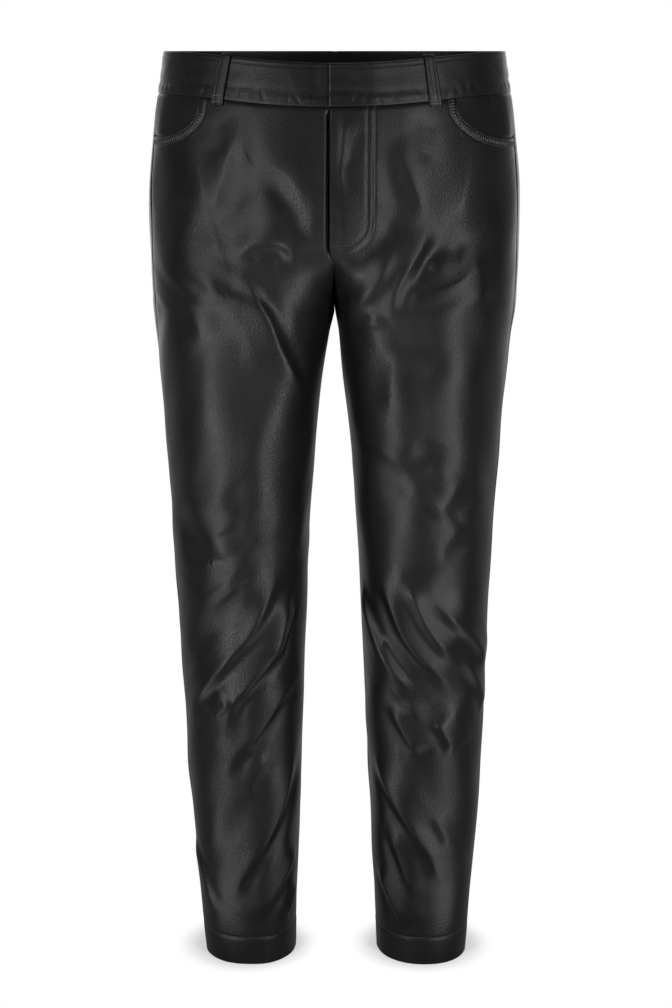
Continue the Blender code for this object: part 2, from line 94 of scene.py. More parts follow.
CREASES_REST = (1 * MM, 10 * MM)  # creases die away towards the inside and centre seams
CREASE_STRENGTH = 1.35
CREASE_BREADTH = 1.1
STEEP_FLANK, GENTLE_FLANK = 0.9, 2.6   # a crest's two flanks, in widths
CREST_ROUND = 0.20                     # how blunt a crest is
TROUGH_BESIDE = 1.2                    # the trough's place beside the crest, in widths

# the trousers' sections from waist to hem, for one half
SECTION_COLUMNS = ("z", "outer", "inner", "front", "back", "middle", "side_seam", "lean")
SECTIONS = np.array((
    (0.020, 0.1690, 0.0000, -0.0920, 0.0950, 0.0000, 0.880, 0.0000),
    (-0.020, 0.1750, 0.0000, -0.0985, 0.1020, 0.0010, 0.870, 0.0000),
    (-0.040, 0.1788, 0.0000, -0.1020, 0.1070, 0.0015, 0.865, 0.0000),
    (-0.066, 0.1822, 0.0000, -0.1055, 0.1140, 0.0020, 0.862, 0.0000),
    (-0.100, 0.1852, 0.0000, -0.1085, 0.1240, 0.0030, 0.862, 0.0000),
    (-0.140, 0.1865, 0.0000, -0.1100, 0.1310, 0.0040, 0.868, 0.0000),
    (-0.180, 0.1862, 0.0000, -0.1090, 0.1300, 0.0040, 0.880, 0.0000),
    (-0.2295, 0.1835, 0.0000, -0.1050, 0.1160, 0.0030, 0.900, 0.0000),
    (-0.258, 0.1805, 0.0054, -0.1015, 0.1020, 0.0020, 0.912, -0.0007),
    (-0.330, 0.1740, 0.0141, -0.0945, 0.0860, 0.0000, 0.925, -0.0015),
    (-0.383, 0.1703, 0.0196, -0.0890, 0.0790, -0.0010, 0.930, -0.0016),
    (-0.436, 0.1667, 0.0228, -0.0830, 0.0730, -0.0020, 0.932, -0.0016),
    (-0.490, 0.1642, 0.0261, -0.0770, 0.0690, -0.0020, 0.933, -0.0014),
    (-0.544, 0.1617, 0.0284, -0.0705, 0.0680, -0.0010, 0.934, -0.0011),
    (-0.600, 0.1600, 0.0306, -0.0650, 0.0690, 0.0010, 0.935, -0.0007),
    (-0.655, 0.1588, 0.0328, -0.0600, 0.0700, 0.0030, 0.936, -0.0001),
    (-0.710, 0.1568, 0.0354, -0.0570, 0.0690, 0.0040, 0.937, 0.0004),
    (-0.767, 0.1539, 0.0376, -0.0555, 0.0660, 0.0040, 0.938, 0.0008),
    (-0.824, 0.1496, 0.0400, -0.0550, 0.0620, 0.0030, 0.939, 0.0011),
    (-0.882, 0.1448, 0.0429, -0.0547, 0.0580, 0.0020, 0.940, 0.0014),
    (-0.9315, 0.1410, 0.0442, -0.0545, 0.0555, 0.0010, 0.940, 0.0018),
))

# every crease of each half: the height of its crest and the depth of the trough beside it in mm,
# their width in mm, the side the trough lies on (1 outwards, -1 inwards, 0 under the crest), and
# its course: a girth in hundredths and a height in mm for each of its points
CREASES = {RIGHT: (
    # waist, hip and thigh
    (1.6, 0.8, 12.1, -1, 28, -57, 33, -60, 36, -72, 39, -91, 45, -115, 51, -143),
    (1.4, 2.2, 14.3, 1, 30, -70, 21, -81, 14, -98, 11, -122, 11, -151, 13, -174),
    (1.4, 0.6, 11.0, -1, 28, -98, 24, -121, 21, -149, 21, -176),
    (2.9, 1.7, 7.4, 1, 49, -184, 45, -168, 38, -160, 30, -158, 25, -166, 24, -182),
    (4.3, 0.9, 7.1, -1, 48, -178, 48, -188, 47, -203, 46, -218, 44, -235, 40, -260,
     33, -289, 24, -323),
    (1.4, 1.1, 9.7, 1, 59, -209, 55, -197, 51, -192, 49, -194, 47, -203),
    (1.1, 0.9, 11.0, 1, 67, -212, 65, -225, 63, -240, 60, -259),
    (0.0, 1.0, 11.0, 0, 41, -37, 39, -58, 41, -82),
    # the knee
    (1.1, 1.7, 15.3, 1, 76, -409, 66, -440, 58, -466, 52, -483, 56, -498),
    (0.7, 0.8, 12.3, -1, 59, -407, 53, -432, 50, -444),
    (0.8, 1.1, 12.3, 1, 50, -431, 44, -455, 41, -469),
    (0.6, 0.8, 10.6, -1, 80, -442, 81, -460, 76, -495, 72, -507),
    (0.9, 0.8, 13.7, -1, 56, -502, 51, -517),
    (0.9, 1.2, 13.7, -1, 60, -507, 64, -529, 77, -560, 86, -593),
    # the shin
    (4.9, 1.4, 6.2, -1, 31, -487, 37, -516, 43, -545, 50, -575, 61, -607, 78, -646, 86, -668),
    (4.9, 1.5, 6.2, -1, 20, -504, 27, -534, 35, -583, 46, -613, 54, -644, 61, -682),
    (2.5, 0.6, 3.4, -1, 53, -633, 63, -657),
    (2.9, 0.9, 4.1, -1, 21, -530, 30, -577, 35, -595),
    (3.9, 1.5, 6.8, -1, 16, -612, 31, -636, 40, -660, 51, -691, 62, -726),
    (1.8, 0.8, 6.2, -1, 36, -692, 46, -726, 48, -747),
    (4.2, 1.8, 6.8, -1, 16, -690, 27, -746, 39, -791, 50, -826, 59, -870),
    (3.9, 1.4, 6.2, -1, 9, -805, 31, -847, 42, -872, 45, -885),
    (1.8, 0.8, 4.1, -1, 8, -850, 16, -874, 23, -888),
    (2.0, 0.9, 5.5, -1, 96, -800, 82, -829, 73, -870, 72, -882),
    # the seat and the backs of the thighs
    (0.8, 2.6, 14, 0, 178, -236, 155, -262, 128, -290),
    (1.2, 1.8, 9, 1, 186, -200, 168, -226, 140, -246),
    (0.8, 1.6, 10, -1, 146, -60, 150, -110, 160, -150),
    (0.8, 1.6, 11, 1, 172, -290, 160, -350, 150, -400),
    # the backs of the knees and the calves
    (1.6, 2.6, 10, 1, 180, -470, 160, -488, 132, -500, 112, -492),
    (1.4, 2.4, 9, -1, 176, -512, 150, -528, 122, -530),
    (1.6, 2.6, 9, 1, 118, -548, 140, -584, 166, -612),
    (1.4, 2.2, 9, 1, 120, -606, 146, -640, 176, -672),
    (1.4, 2.2, 9, 1, 130, -690, 152, -736, 178, -770),
    (1.2, 1.8, 9, 1, 128, -790, 150, -832, 172, -866),
), LEFT: (
    # waist, fly, hip and thigh
    (0.7, 0.6, 5.5, 1, 7, -38, 3, -51, 2, -69, 1, -92, 2, -118),
    (0.5, 0.6, 5.5, 1, 7, -43, 5, -56, 3, -73, 3, -92),
    (2.1, 1.5, 13.2, -1, 18, -58, 22, -79, 27, -102, 34, -124, 40, -143),
    (2.8, 1.8, 7.5, 1, 39, -140, 42, -155, 43, -168, 42, -182, 41, -195, 41, -212, 41, -226, 42, -238),
    (2.3, 1.4, 9.7, 1, 33, -153, 32, -166, 32, -181, 32, -196, 30, -211, 24, -225, 16, -233),
    (0.0, 1.4, 13.2, 0, 25, -123, 26, -142, 25, -161, 23, -178, 19, -196),
    (0.0, 2.3, 10.3, 0, 46, -199, 46, -184, 47, -173, 50, -167, 54, -165, 59, -172),
    (1.8, 0.7, 11.4, 1, 57, -173, 63, -187, 65, -206, 65, -227),
    (0.0, 1.0, 9.9, 0, 32, -36, 31, -53, 30, -72, 30, -89),
    (0.7, 0.7, 6.6, 1, 45, -173, 44, -186, 44, -197, 44, -206),
    (2.2, 1.0, 8.2, -1, 16, -227, 23, -237, 32, -239, 40, -233),
    (0.0, 1.4, 12.1, 0, 33, -254, 41, -251, 46, -255, 49, -259, 50, -271, 52, -288, 53, -309),
    (1.8, 1.0, 13.2, -1, 44, -259, 42, -279, 40, -306, 38, -339),
    # the knee
    (1.3, 1.5, 15.3, 1, 49, -342, 43, -377, 39, -392),
    (1.0, 1.3, 15.3, -1, 58, -364, 51, -388, 46, -409, 42, -431),
    (1.5, 1.5, 12.3, 1, 64, -391, 57, -417, 52, -438),
    (1.3, 1.5, 12.3, 1, 66, -440, 58, -460, 55, -472, 57, -493),
    # the shin
    (4.0, 1.2, 5.7, 1, 8, -506, 16, -539, 26, -575, 36, -606, 47, -630),
    (2.2, 0.6, 4.3, 1, 26, -558, 34, -592, 44, -620),
    (5.2, 1.2, 5.7, -1, 25, -489, 33, -523, 40, -561, 49, -591, 59, -617, 64, -631),
    (3.8, 1.0, 5.7, -1, 42, -500, 47, -532, 52, -563, 60, -585, 64, -594),
    (3.8, 0.9, 5.7, -1, 52, -523, 62, -550, 77, -577, 88, -614),
    (2.9, 0.9, 5.7, -1, 67, -591, 82, -632, 90, -660),
    (1.8, 1.0, 5.7, -1, 33, -618, 39, -633, 49, -656),
    (3.8, 1.1, 6.5, -1, 31, -639, 41, -675, 48, -698),
    (2.9, 0.9, 5.7, -1, 52, -653, 60, -683, 63, -696),
    (4.8, 1.8, 7.1, -1, 13, -694, 30, -737, 48, -794, 56, -829, 61, -850),
    (3.2, 1.2, 6.5, -1, 28, -772, 38, -822, 47, -860),
    (2.9, 1.0, 5.7, -1, 14, -827, 30, -865, 40, -893),
    (1.2, 0.9, 5.7, -1, 52, -763, 57, -780, 62, -799),
    # the seat and the backs of the thighs
    (0.8, 2.6, 14, 0, 180, -243, 158, -268, 124, -300),
    (1.0, 2.0, 10, 1, 184, -190, 162, -222, 136, -236),
    (0.8, 1.4, 10, -1, 147, -55, 152, -98, 158, -140),
    (0.9, 1.8, 11, 1, 174, -300, 158, -368, 146, -415),
    # the backs of the knees and the calves
    (1.6, 2.8, 10, 1, 178, -478, 156, -500, 130, -508, 110, -498),
    (1.3, 2.2, 9, -1, 180, -520, 152, -540, 120, -536),
    (1.6, 2.4, 9, 1, 116, -560, 142, -590, 170, -628),
    (1.4, 2.4, 9, 1, 114, -620, 140, -660, 172, -690),
    (1.2, 2.2, 10, 1, 122, -706, 150, -748, 176, -790),
    (1.2, 2.0, 9, 1, 118, -800, 144, -846, 168, -880),
)}


def smooth(low, high, value):
    """0 at low, 1 at high, an S-curve between; low may be the larger number."""
    share = np.clip((value - low) / (high - low), 0.0, 1.0)
    return share * share * (3.0 - 2.0 * share)


def slow_smooth(low, high, value):
    """As smooth, with no sudden bend at either end."""
    share = np.clip((value - low) / (high - low), 0.0, 1.0)
    return share**3 * (10.0 - 15.0 * share + 6.0 * share * share)


def section(name, z):
    """A column of SECTIONS at the heights z, on a curve through its rows."""
    heights, values = SECTIONS[:, 0], SECTIONS[:, SECTION_COLUMNS.index(name)]
    z = np.clip(z, heights[-1], heights[0])
    last = len(heights) - 1
    row = np.clip(np.searchsorted(-heights, -z), 1, last)
    above, before, after = row - 1, np.maximum(row - 2, 0), np.minimum(row + 1, last)
    span = heights[row] - heights[above]
    share = (z - heights[above]) / span
    rise = (values[row] - values[before]) / (heights[row] - heights[before]) * span
    fall = (values[after] - values[above]) / (heights[after] - heights[above]) * span
    return ((2 * share**3 - 3 * share**2 + 1) * values[above]
            + (share**3 - 2 * share**2 + share) * rise
            + (3 * share**2 - 2 * share**3) * values[row]
            + (share**3 - share**2) * fall)


def power(value, exponent):
    """A signed power, for superellipses."""
    return np.copysign(np.abs(value) ** exponent, value)


def outline(u, z):
    """Across and forward place of the uncreased cloth on the left half."""
    u, z = np.broadcast_arrays(np.asarray(u, float), np.asarray(z, float))
    mirror = np.where(u < 0.0, -1.0, 1.0)
    u = np.abs(u)
    outer, inner, middle = section("outer", z), section("inner", z), section("middle", z)
    front = u <= 1.0
    depth = np.where(front, middle - section("front", z), section("back", z) - middle)
    from_centre = np.where(front, u, 2.0 - u)

    hip = from_centre * math.pi / 2
    hip_across = outer * power(np.sin(hip), 2 / HIP_ROUNDNESS)
    hip_out = power(np.cos(hip), 2 / HIP_ROUNDNESS)

    leg = from_centre * math.pi
    inside = from_centre < 0.5
    fuller = np.where(inside, THIGHS_FULLER * smooth(KNEES, CROTCH, z), 0.0)
    roundness = 2 / (LEG_ROUNDNESS + fuller)
    leg_across = (outer + inner) / 2 - (outer - inner) / 2 * power(np.cos(leg), roundness)
    leg_out = power(np.sin(leg), roundness)

    parted = slow_smooth(*LEGS_PART, z)
    rise_starts = np.where(front, FRONT_RISE_STARTS, BACK_RISE_STARTS)
    turn = np.clip((rise_starts - z) / (rise_starts - CROTCH), 0.0, 1.0)
    seam_depth = (1.0 - turn * turn) ** SEAM_FALL
    at_seam = 1.0 - (1.0 - seam_depth) / np.maximum(parted, 1e-9)
    leg_out = np.where(inside & (parted > 0.0), at_seam + (1.0 - at_seam) * leg_out, leg_out)
    across = hip_across + (leg_across - hip_across) * parted
    out = depth * (hip_out + (leg_out - hip_out) * parted)
    return mirror * across, middle + np.where(front, -out, out)


def outward(u, z):
    """The level unit vector out of the cloth on the left half."""
    step = 0.004
    near_x, near_y = outline(np.where(z > LAP_CLOSES, u - step, np.maximum(u - step, 0.0)), z)
    far_x, far_y = outline(np.minimum(u + step, 2.0), z)
    along_x, along_y = far_x - near_x, far_y - near_y
    length = np.hypot(along_x, along_y)
    return along_y / length, -along_x / length


def place(half, u, z, lift=0.0):
    """Points of the cloth on one half, lifted out of its uncreased surface."""
    across, forward = outline(u, z)
    out_x, out_y = outward(u, z)
    return np.stack((half * (across + lift * out_x) + section("lean", z),
                     forward + lift * out_y, np.broadcast_to(z, across.shape)), axis=-1)


# distance round the cloth from the centre front, at every girth and height
GIRTHS = np.linspace(-0.2, 2.0, 441)
HEIGHTS = np.linspace(HEM - 0.002, WAIST_TOP + 0.002, 320)
ring_x, ring_y = outline(GIRTHS[None, :], HEIGHTS[:, None])
ROUND = np.zeros(ring_x.shape)
ROUND[:, 1:] = np.cumsum(np.hypot(np.diff(ring_x, axis=1), np.diff(ring_y, axis=1)), axis=1)
ROUND -= ROUND[:, np.argmin(np.abs(GIRTHS))][:, None]


def around(u, z):
    """Distance round the cloth from the centre front to the girths u, at the heights z."""
    u, z = np.broadcast_arrays(u, z)
    column = np.clip((u - GIRTHS[0]) / (GIRTHS[1] - GIRTHS[0]), 0, len(GIRTHS) - 1.001)
    row = np.clip((z - HEIGHTS[0]) / (HEIGHTS[1] - HEIGHTS[0]), 0, len(HEIGHTS) - 1.001)
    c, r = column.astype(int), row.astype(int)
    along, up = column - c, row - r
    return ((ROUND[r, c] * (1 - along) + ROUND[r, c + 1] * along) * (1 - up)
            + (ROUND[r + 1, c] * (1 - along) + ROUND[r + 1, c + 1] * along) * up)


def furthest_girth(falls_short, high, rounds, shape):
    """The girths up to which the cloth falls short of what is asked, by halving."""
    low, high = np.full(shape, GIRTHS[0]), np.full(shape, high)
    for _ in range(rounds):
        middle = (low + high) / 2
        short = falls_short(middle)
        low, high = np.where(short, middle, low), np.where(short, high, middle)
    return (low + high) / 2


def girth_of(distance, z):
    """The girths at these distances round the cloth."""
    distance, z = np.broadcast_arrays(distance, z)
    girths = furthest_girth(lambda u: around(u, z) < distance, GIRTHS[-1], 26, z.shape)
    return np.where(z < LAP_CLOSES, np.clip(girths, 0.0, 2.0), girths)


def girth_at(across, z):
    """The girths on the front where the cloth is this far across, below 0 past the centre."""
    across, z = np.broadcast_arrays(across, z)
    return furthest_girth(lambda u: outline(u, z)[0] < across, 1.0, 30, z.shape)


def smooth_course(points, steps=7):
    """A rounded line through a few points, as a fine row of points."""
    points = np.asarray(points, float)
    padded = np.vstack((2 * points[0] - points[1], points, 2 * points[-1] - points[-2]))
    share = np.linspace(0, 1, steps, endpoint=False)[:, None]
    course = []
    for a, b, c, d in zip(padded, padded[1:], padded[2:], padded[3:]):
        course.append(0.5 * (2 * b + (c - a) * share + (2 * a - 5 * b + 4 * c - d) * share**2
                             + (3 * b - a - 3 * c + d) * share**3))
    return np.vstack(course + [points[-1:]])


def on_surface(u, z):
    """Points of the uncreased cloth on the left half."""
    across, forward = outline(u, z)
    return np.stack((across, forward, np.broadcast_to(z, across.shape)), axis=-1)


def beside_course(course, u, z):
    """Signed distance of points of the cloth from a course, and their share along it."""
    places = on_surface(u, z)
    out_x, out_y = outward(u, z)
    start, step = course[:-1], np.diff(course, axis=0)
    length = np.linalg.norm(step, axis=1)
    to = places[:, None, :] - start
    share = np.clip(np.einsum("pci,ci->pc", to, step) / length**2, 0.0, 1.0)
    off = to - share[..., None] * step
    away = np.linalg.norm(off, axis=2)
    nearest = np.argmin(away, axis=1)
    rows = np.arange(len(places))
    off, step = off[rows, nearest], step[nearest]
    side = ((step[:, 1] * off[:, 2] - step[:, 2] * off[:, 1]) * out_x
            + (step[:, 2] * off[:, 0] - step[:, 0] * off[:, 2]) * out_y)
    run = np.concatenate(((0.0,), np.cumsum(length)))
    along = (run[nearest] + share[rows, nearest] * length[nearest]) / run[-1]
    return away[rows, nearest] * np.sign(side), along


def crease_relief(half, u, z):
    """How far the creases raise or sink the cloth."""
    places = on_surface(u, z)
    relief = np.zeros(u.shape)
    for crest, trough, width, side, *points in CREASES[half]:
        girths, heights = smooth_course(np.reshape(points, (-1, 2))).T
        course = on_surface(girths / 100, heights * MM)
        width = width * CREASE_BREADTH * MM
        reach = 6 * width
        within = (places > course.min(axis=0) - reach) & (places < course.max(axis=0) + reach)
        near = np.all(within, axis=-1)
        if not near.any():
            continue
        off, along = beside_course(course, u[near], z[near])
        fades = smooth(0.0, 0.30, along) * smooth(1.0, 0.72, along)
        width = width * (1.0 + 0.5 * (1.0 - fades))
        towards = off * side
        flank = np.where(towards > 0.0, STEEP_FLANK, GENTLE_FLANK) * width
        raised = crest * np.exp(CREST_ROUND - np.hypot(towards / flank, CREST_ROUND))
        sunk = trough * ridge(off - side * TROUGH_BESIDE * width, width)
        ends = fades * smooth(reach, reach / 2, np.abs(off))
        relief[near] += ends * (raised - sunk) * CREASE_STRENGTH * MM
    return relief


WAVES = 18
WAVE_LENGTHS = (0.030, 0.130)
WAVE_HEIGHT = 0.20 * MM    # of a wave 80 mm long


def unevenness(half, distance, z):
    """Slow, slight waves that keep the cloth from lying perfectly true."""
    random = np.random.default_rng(20 + half)
    relief = np.zeros(distance.shape)
    for _ in range(WAVES):
        length = random.uniform(*WAVE_LENGTHS)
        lean = random.uniform(-0.9, 0.9)
        phase = random.uniform(0, 2 * math.pi)
        across = distance * math.cos(lean) + z * math.sin(lean)
        relief += WAVE_HEIGHT * length / 0.080 * np.sin(across * 2 * math.pi / length + phase)
    return relief


def ridge(off, width):
    """A rounded ridge 1 high, this wide to either side."""
    return np.exp(-((off / width) ** 2))


def seam_sink(distance):
    """Sewn edges turn inwards, towards their seam allowance."""
    return SEAM_SINKS * np.exp(-((np.abs(distance) / SEAM_TURNS) ** 1.5))


def side_sink(distance, z):
    """The side seam's sink, which is slight beside the pocket facing."""
    return seam_sink(distance) * (1.0 - SIDE_SEAM_CALM * smooth(*SIDE_SEAM_CALMS, z))


def tuck_sink(below):
    """A panel's upper edge turns in at the waistband seam and runs up behind the band."""
    return np.where(below > 0.0, seam_sink(below), SEAM_SINKS + TUCK_SLOPE * -below)


def leg_relief(half, u, z):
    """The whole relief of the leg cloth: creases, waves, and calm by the inside seam."""
    distance = around(u, z)
    to_inside = np.minimum(np.abs(distance), around(2.0, z) - distance)
    calm = smooth(*CREASES_REST, to_inside)
    return (crease_relief(half, u, z) + unevenness(half, distance, z)) * calm


def keep_to_half(half, walls, where=True):
    """No cloth of one half crosses the centre."""
    for wall in walls:
        wall[..., 0] = np.where(where, half * np.maximum(half * wall[..., 0], 0.0), wall[..., 0])


NEAR_EDGE = np.array((0.0, 0.4, 0.9, 1.6, 2.6, 4.0)) * MM  # rows and columns beside an edge
FOLD_BULGE = 0.22          # an edge's fold, in thicknesses of its wall


def sewn_place(half, u, z, lift, sink):
    """Cloth that sinks at a centre seam: straight back above the crotch, so that the halves meet."""
    wall = place(half, u, z, lift - sink)
    bare = place(half, u, z)[..., 0]
    above = smooth(CROTCH - CROTCH_BLEND, CROTCH + CROTCH_BLEND, z)
    held = smooth(SEAM_HOLDS, 0.0, np.abs(bare)) * above
    lifted = place(half, u, z, lift)[..., 0]
    wall[..., 0] = np.where(above > 0.0, lifted + (bare - lifted) * held, wall[..., 0])
    return wall


def stations(first, last, count):
    """Distances from first to last, close together by both edges and even between."""
    even = np.linspace(0, 1, count - 2 * len(NEAR_EDGE) + 2)[1:-1]
    shape = (-1,) + (1,) * np.ndim(first)
    start, end = first + NEAR_EDGE[-1], last - NEAR_EDGE[-1]
    return np.concatenate((first + NEAR_EDGE.reshape(shape),
                           start + (end - start) * even.reshape(shape),
                           last - NEAR_EDGE[::-1].reshape(shape)))


def columns_between(start, end, z, count):
    """The distances round the cloth and the girths of a grid's columns between two edges."""
    share = stations(np.zeros(z.shape), end - start, count)
    picked = np.arange(count)
    distance = start + share[picked[None, :], np.arange(z.shape[0])[:, None], picked[None, :]]
    return distance, girth_of(distance, z)


FRONT_COLUMNS = 177
BACK_COLUMNS = 121
UPPER_ROWS = 38
LONG_ROWS = 350
HEM_ROWS = (8, 10)


def leg_rows(top):
    """Heights down each column, from the piece's top edge to the hem."""
    top = np.asarray(top, float)[None, :]
    share = np.linspace(0, 1, UPPER_ROWS + 1)[1:, None]
    edge = top - NEAR_EDGE[:, None]
    upper = edge[-1:] + (DIP_ENDS - edge[-1:]) * share
    upper_end, lower_end = HEM_STITCHES + 6 * MM, HEM_STITCHES - 5 * MM
    long = np.linspace(DIP_ENDS, upper_end, LONG_ROWS + 1)[1:]
    turn_up = np.linspace(upper_end, lower_end, HEM_ROWS[0] + 1)[1:]
    foot = np.linspace(lower_end, HEM + NEAR_EDGE[-1], HEM_ROWS[1] + 1)[1:]
    rest = np.concatenate((long, turn_up, foot, HEM + NEAR_EDGE[-2::-1]))
    return np.vstack((edge, upper, np.repeat(rest[:, None], top.shape[1], axis=1)))


def hem_relief(z):
    """The turned-up hem stands a little proud below its row of stitches."""
    line = ridge(z - HEM_STITCHES, 1.6 * MM)
    return 0.25 * MM * smooth(HEM_STITCHES + 1 * MM, HEM_STITCHES - 4 * MM, z) - 0.45 * MM * line


def cloth_thickness(z):
    """One layer, or two in the turned-up hem."""
    return CLOTH + (HEM_CLOTH - CLOTH) * smooth(HEM_STITCHES + 2 * MM, HEM_STITCHES - 2 * MM, z)


def add_object(name, data):
    """A new object in the scene."""
    made = bpy.data.objects.new(name, data)
    bpy.context.scene.collection.objects.link(made)
    return made


def cloth_piece(name, skin, inside, chart, flip, finishes):
    """A closed cloth wall from two grids; the inner wall keeps every second row and column."""
    rows, columns = skin.shape[:2]
    inside = inside[::2, ::2]
    skin_at = np.arange(rows * columns).reshape(rows, columns)
    inside_at = np.arange(inside.shape[0] * inside.shape[1]).reshape(inside.shape[:2]) + skin_at.size

    def quads(at):
        return np.stack((at[:-1, :-1], at[1:, :-1], at[1:, 1:], at[:-1, 1:]), axis=-1).reshape(-1, 4)

    def border(at):
        return np.concatenate((at[0, :-1], at[:-1, -1], at[-1, :0:-1], at[:0:-1, 0]))

    outer_rim, inner_rim = border(skin_at), border(inside_at)
    points = np.vstack((skin.reshape(-1, 3), inside.reshape(-1, 3)))
    full = np.zeros((len(outer_rim), 3))
    full[::2] = points[inner_rim]
    full[1::2] = (points[inner_rim] + np.roll(points[inner_rim], -1, axis=0)) / 2
    inset = border(np.pad(skin_at[1:-1, 1:-1], 1, mode="edge"))
    away = points[outer_rim] - points[inset]
    away /= np.maximum(np.linalg.norm(away, axis=1, keepdims=True), 1e-9)
    wall = np.linalg.norm(points[outer_rim] - full, axis=1, keepdims=True)
    fold = (points[outer_rim] + full) / 2 + away * wall * FOLD_BULGE
    fold_at = np.arange(len(fold)) + len(points)
    points = np.vstack((points, fold))

    next_fold = np.roll(fold_at, -1)
    rim = np.stack((outer_rim, fold_at, next_fold, np.roll(outer_rim, -1)), axis=-1)
    lips = np.stack((fold_at[::2], inner_rim, np.roll(inner_rim, -1), next_fold[1::2], fold_at[1::2]),
                    axis=-1)
    turned = -1 if flip else 1
    faces = [quads(skin_at)[:, ::turned], quads(inside_at)[:, ::-turned], rim, lips]
    mesh = bpy.data.meshes.new(name)
    mesh.from_pydata(points.tolist(), [], [face for part in faces for face in part.tolist()])
    indexes = np.repeat((0, 1, 0, 0), [len(part) for part in faces])
    mesh.polygons.foreach_set("material_index", indexes.astype(np.int32))
    mesh.polygons.foreach_set("use_smooth", np.ones(len(mesh.polygons), dtype=bool))
    places = np.zeros((len(points), 2))
    places[:skin_at.size] = chart.reshape(-1, 2)
    places[skin_at.size:skin_at.size + inside_at.size] = chart[::2, ::2].reshape(-1, 2)
    places[fold_at] = places[outer_rim]
    corners = np.zeros(len(mesh.loops), dtype=np.int32)
    mesh.loops.foreach_get("vertex_index", corners)
    chart_layer = mesh.uv_layers.new(name="cloth")
    chart_layer.data.foreach_set("uv", places[corners].astype(np.float32).ravel())
    for finish in finishes:
        mesh.materials.append(finish)
    return add_object(name, mesh)


def linear(hex_colour):
    """A linear colour from an sRGB hex value such as "1c1c1e"."""
    values = [int(hex_colour[at:at + 2], 16) / 255 for at in (0, 2, 4)]
    return tuple(v / 12.92 if v <= 0.04045 else ((v + 0.055) / 1.055) ** 2.4 for v in values) + (1.0,)


def set_inputs(tree, node, **links):
    """Values or links of a node's inputs; a link is a (node, output) pair."""
    for name, value in links.items():
        key = int(name[1:]) if name[0] == "_" and name[1:].isdigit() else name.replace("_", " ")
        if isinstance(value, tuple) and isinstance(value[0], bpy.types.Node):
            tree.links.new(value[0].outputs[value[1]], node.inputs[key])
        else:
            node.inputs[key].default_value = value
    return node


def add_node(tree, kind, settings=None, **links):
    """One node with its settings and inputs."""
    node = tree.nodes.new(kind)
    for name, value in (settings or {}).items():
        setattr(node, name, value)
    return set_inputs(tree, node, **links)


def add_math(tree, operation, first, second):
    """A Math node of two inputs."""
    return add_node(tree, "ShaderNodeMath", {"operation": operation}, _0=first, _1=second)


def new_finish(name):
    """An empty material with its tree, Principled shader and output."""
    material = bpy.data.materials.new(name)
    material.use_nodes = True
    return material, material.node_tree, material.node_tree.nodes["Principled BSDF"]


# Polyurethane-coated faux leather, pebbled by an embossing roller. The eye sees near-black with a
# satin gloss, pebbles of about 1 mm, and slightly uneven gloss where the skin has been rubbed.
PEBBLE = 1.3 * MM          # a shade coarser than the real 1 mm, so that it still shows
RUBBED_PATCH = 0.045


def pu_leather():
    finish, tree, shader = new_finish("polyurethane_faux_leather")
    where = add_node(tree, "ShaderNodeTexCoord")
    rubbed = add_node(tree, "ShaderNodeTexNoise", Vector=(where, "Object"), Scale=1 / RUBBED_PATCH,
                      Detail=3.0)
    mottle = add_node(tree, "ShaderNodeMapRange", Value=(rubbed, 0), _1=0.3, _2=0.7, _3=0.36, _4=0.44)
    tint = add_node(tree, "ShaderNodeMix", {"data_type": "RGBA"}, Factor=(rubbed, 0),
                    _6=linear("0b0b0c"), _7=linear("101012"))
    pebbles = add_node(tree, "ShaderNodeTexVoronoi", {"feature": "SMOOTH_F1"},
                       Vector=(where, "Object"), Scale=1 / PEBBLE, Smoothness=0.6)
    grit = add_node(tree, "ShaderNodeTexNoise", Vector=(where, "Object"), Scale=1 / (2.2 * MM),
                    Detail=4.0)
    grain = add_node(tree, "ShaderNodeMath", {"operation": "MULTIPLY_ADD"},
                     _0=(grit, 0), _1=0.8, _2=(pebbles, "Distance"))
    pebbled = add_node(tree, "ShaderNodeBump", Height=(grain, 0), Strength=0.6, Distance=0.25 * MM)
    set_inputs(tree, shader, Base_Color=(tint, 2), Roughness=(mottle, 0), Normal=(pebbled, 0),
               IOR=1.48, Specular_IOR_Level=0.24)
    return finish


# The knitted polyester backing on the inner side: matt, soft black, in fine ribs.
RIB = 1.6 * MM             # the real ribs are 0.5 mm, drawn coarser so that they show


def knitted_backing():
    finish, tree, shader = new_finish("knitted_polyester_backing")
    where = add_node(tree, "ShaderNodeUVMap", {"uv_map": "cloth"})
    ribs = add_node(tree, "ShaderNodeTexWave", {"bands_direction": "X"},
                    Vector=(where, 0), Scale=1 / RIB / 3.2, Distortion=0.6)
    loops = add_node(tree, "ShaderNodeTexWave", {"bands_direction": "Y"},
                     Vector=(where, 0), Scale=1 / RIB / 2.4, Distortion=0.6)
    knit = add_math(tree, "MULTIPLY", (ribs, 1), (loops, 1))
    raised = add_node(tree, "ShaderNodeBump", Height=(knit, 0), Strength=0.5, Distance=0.2 * MM)
    tint = add_node(tree, "ShaderNodeMix", {"data_type": "RGBA"}, Factor=(knit, 0),
                    _6=linear("0c0c0d"), _7=linear("161617"))
    set_inputs(tree, shader, Base_Color=(tint, 2), Normal=(raised, 0), Roughness=0.9,
               Specular_IOR_Level=0.2)
    return finish


LEATHER = pu_leather()
BACKING = knitted_backing()


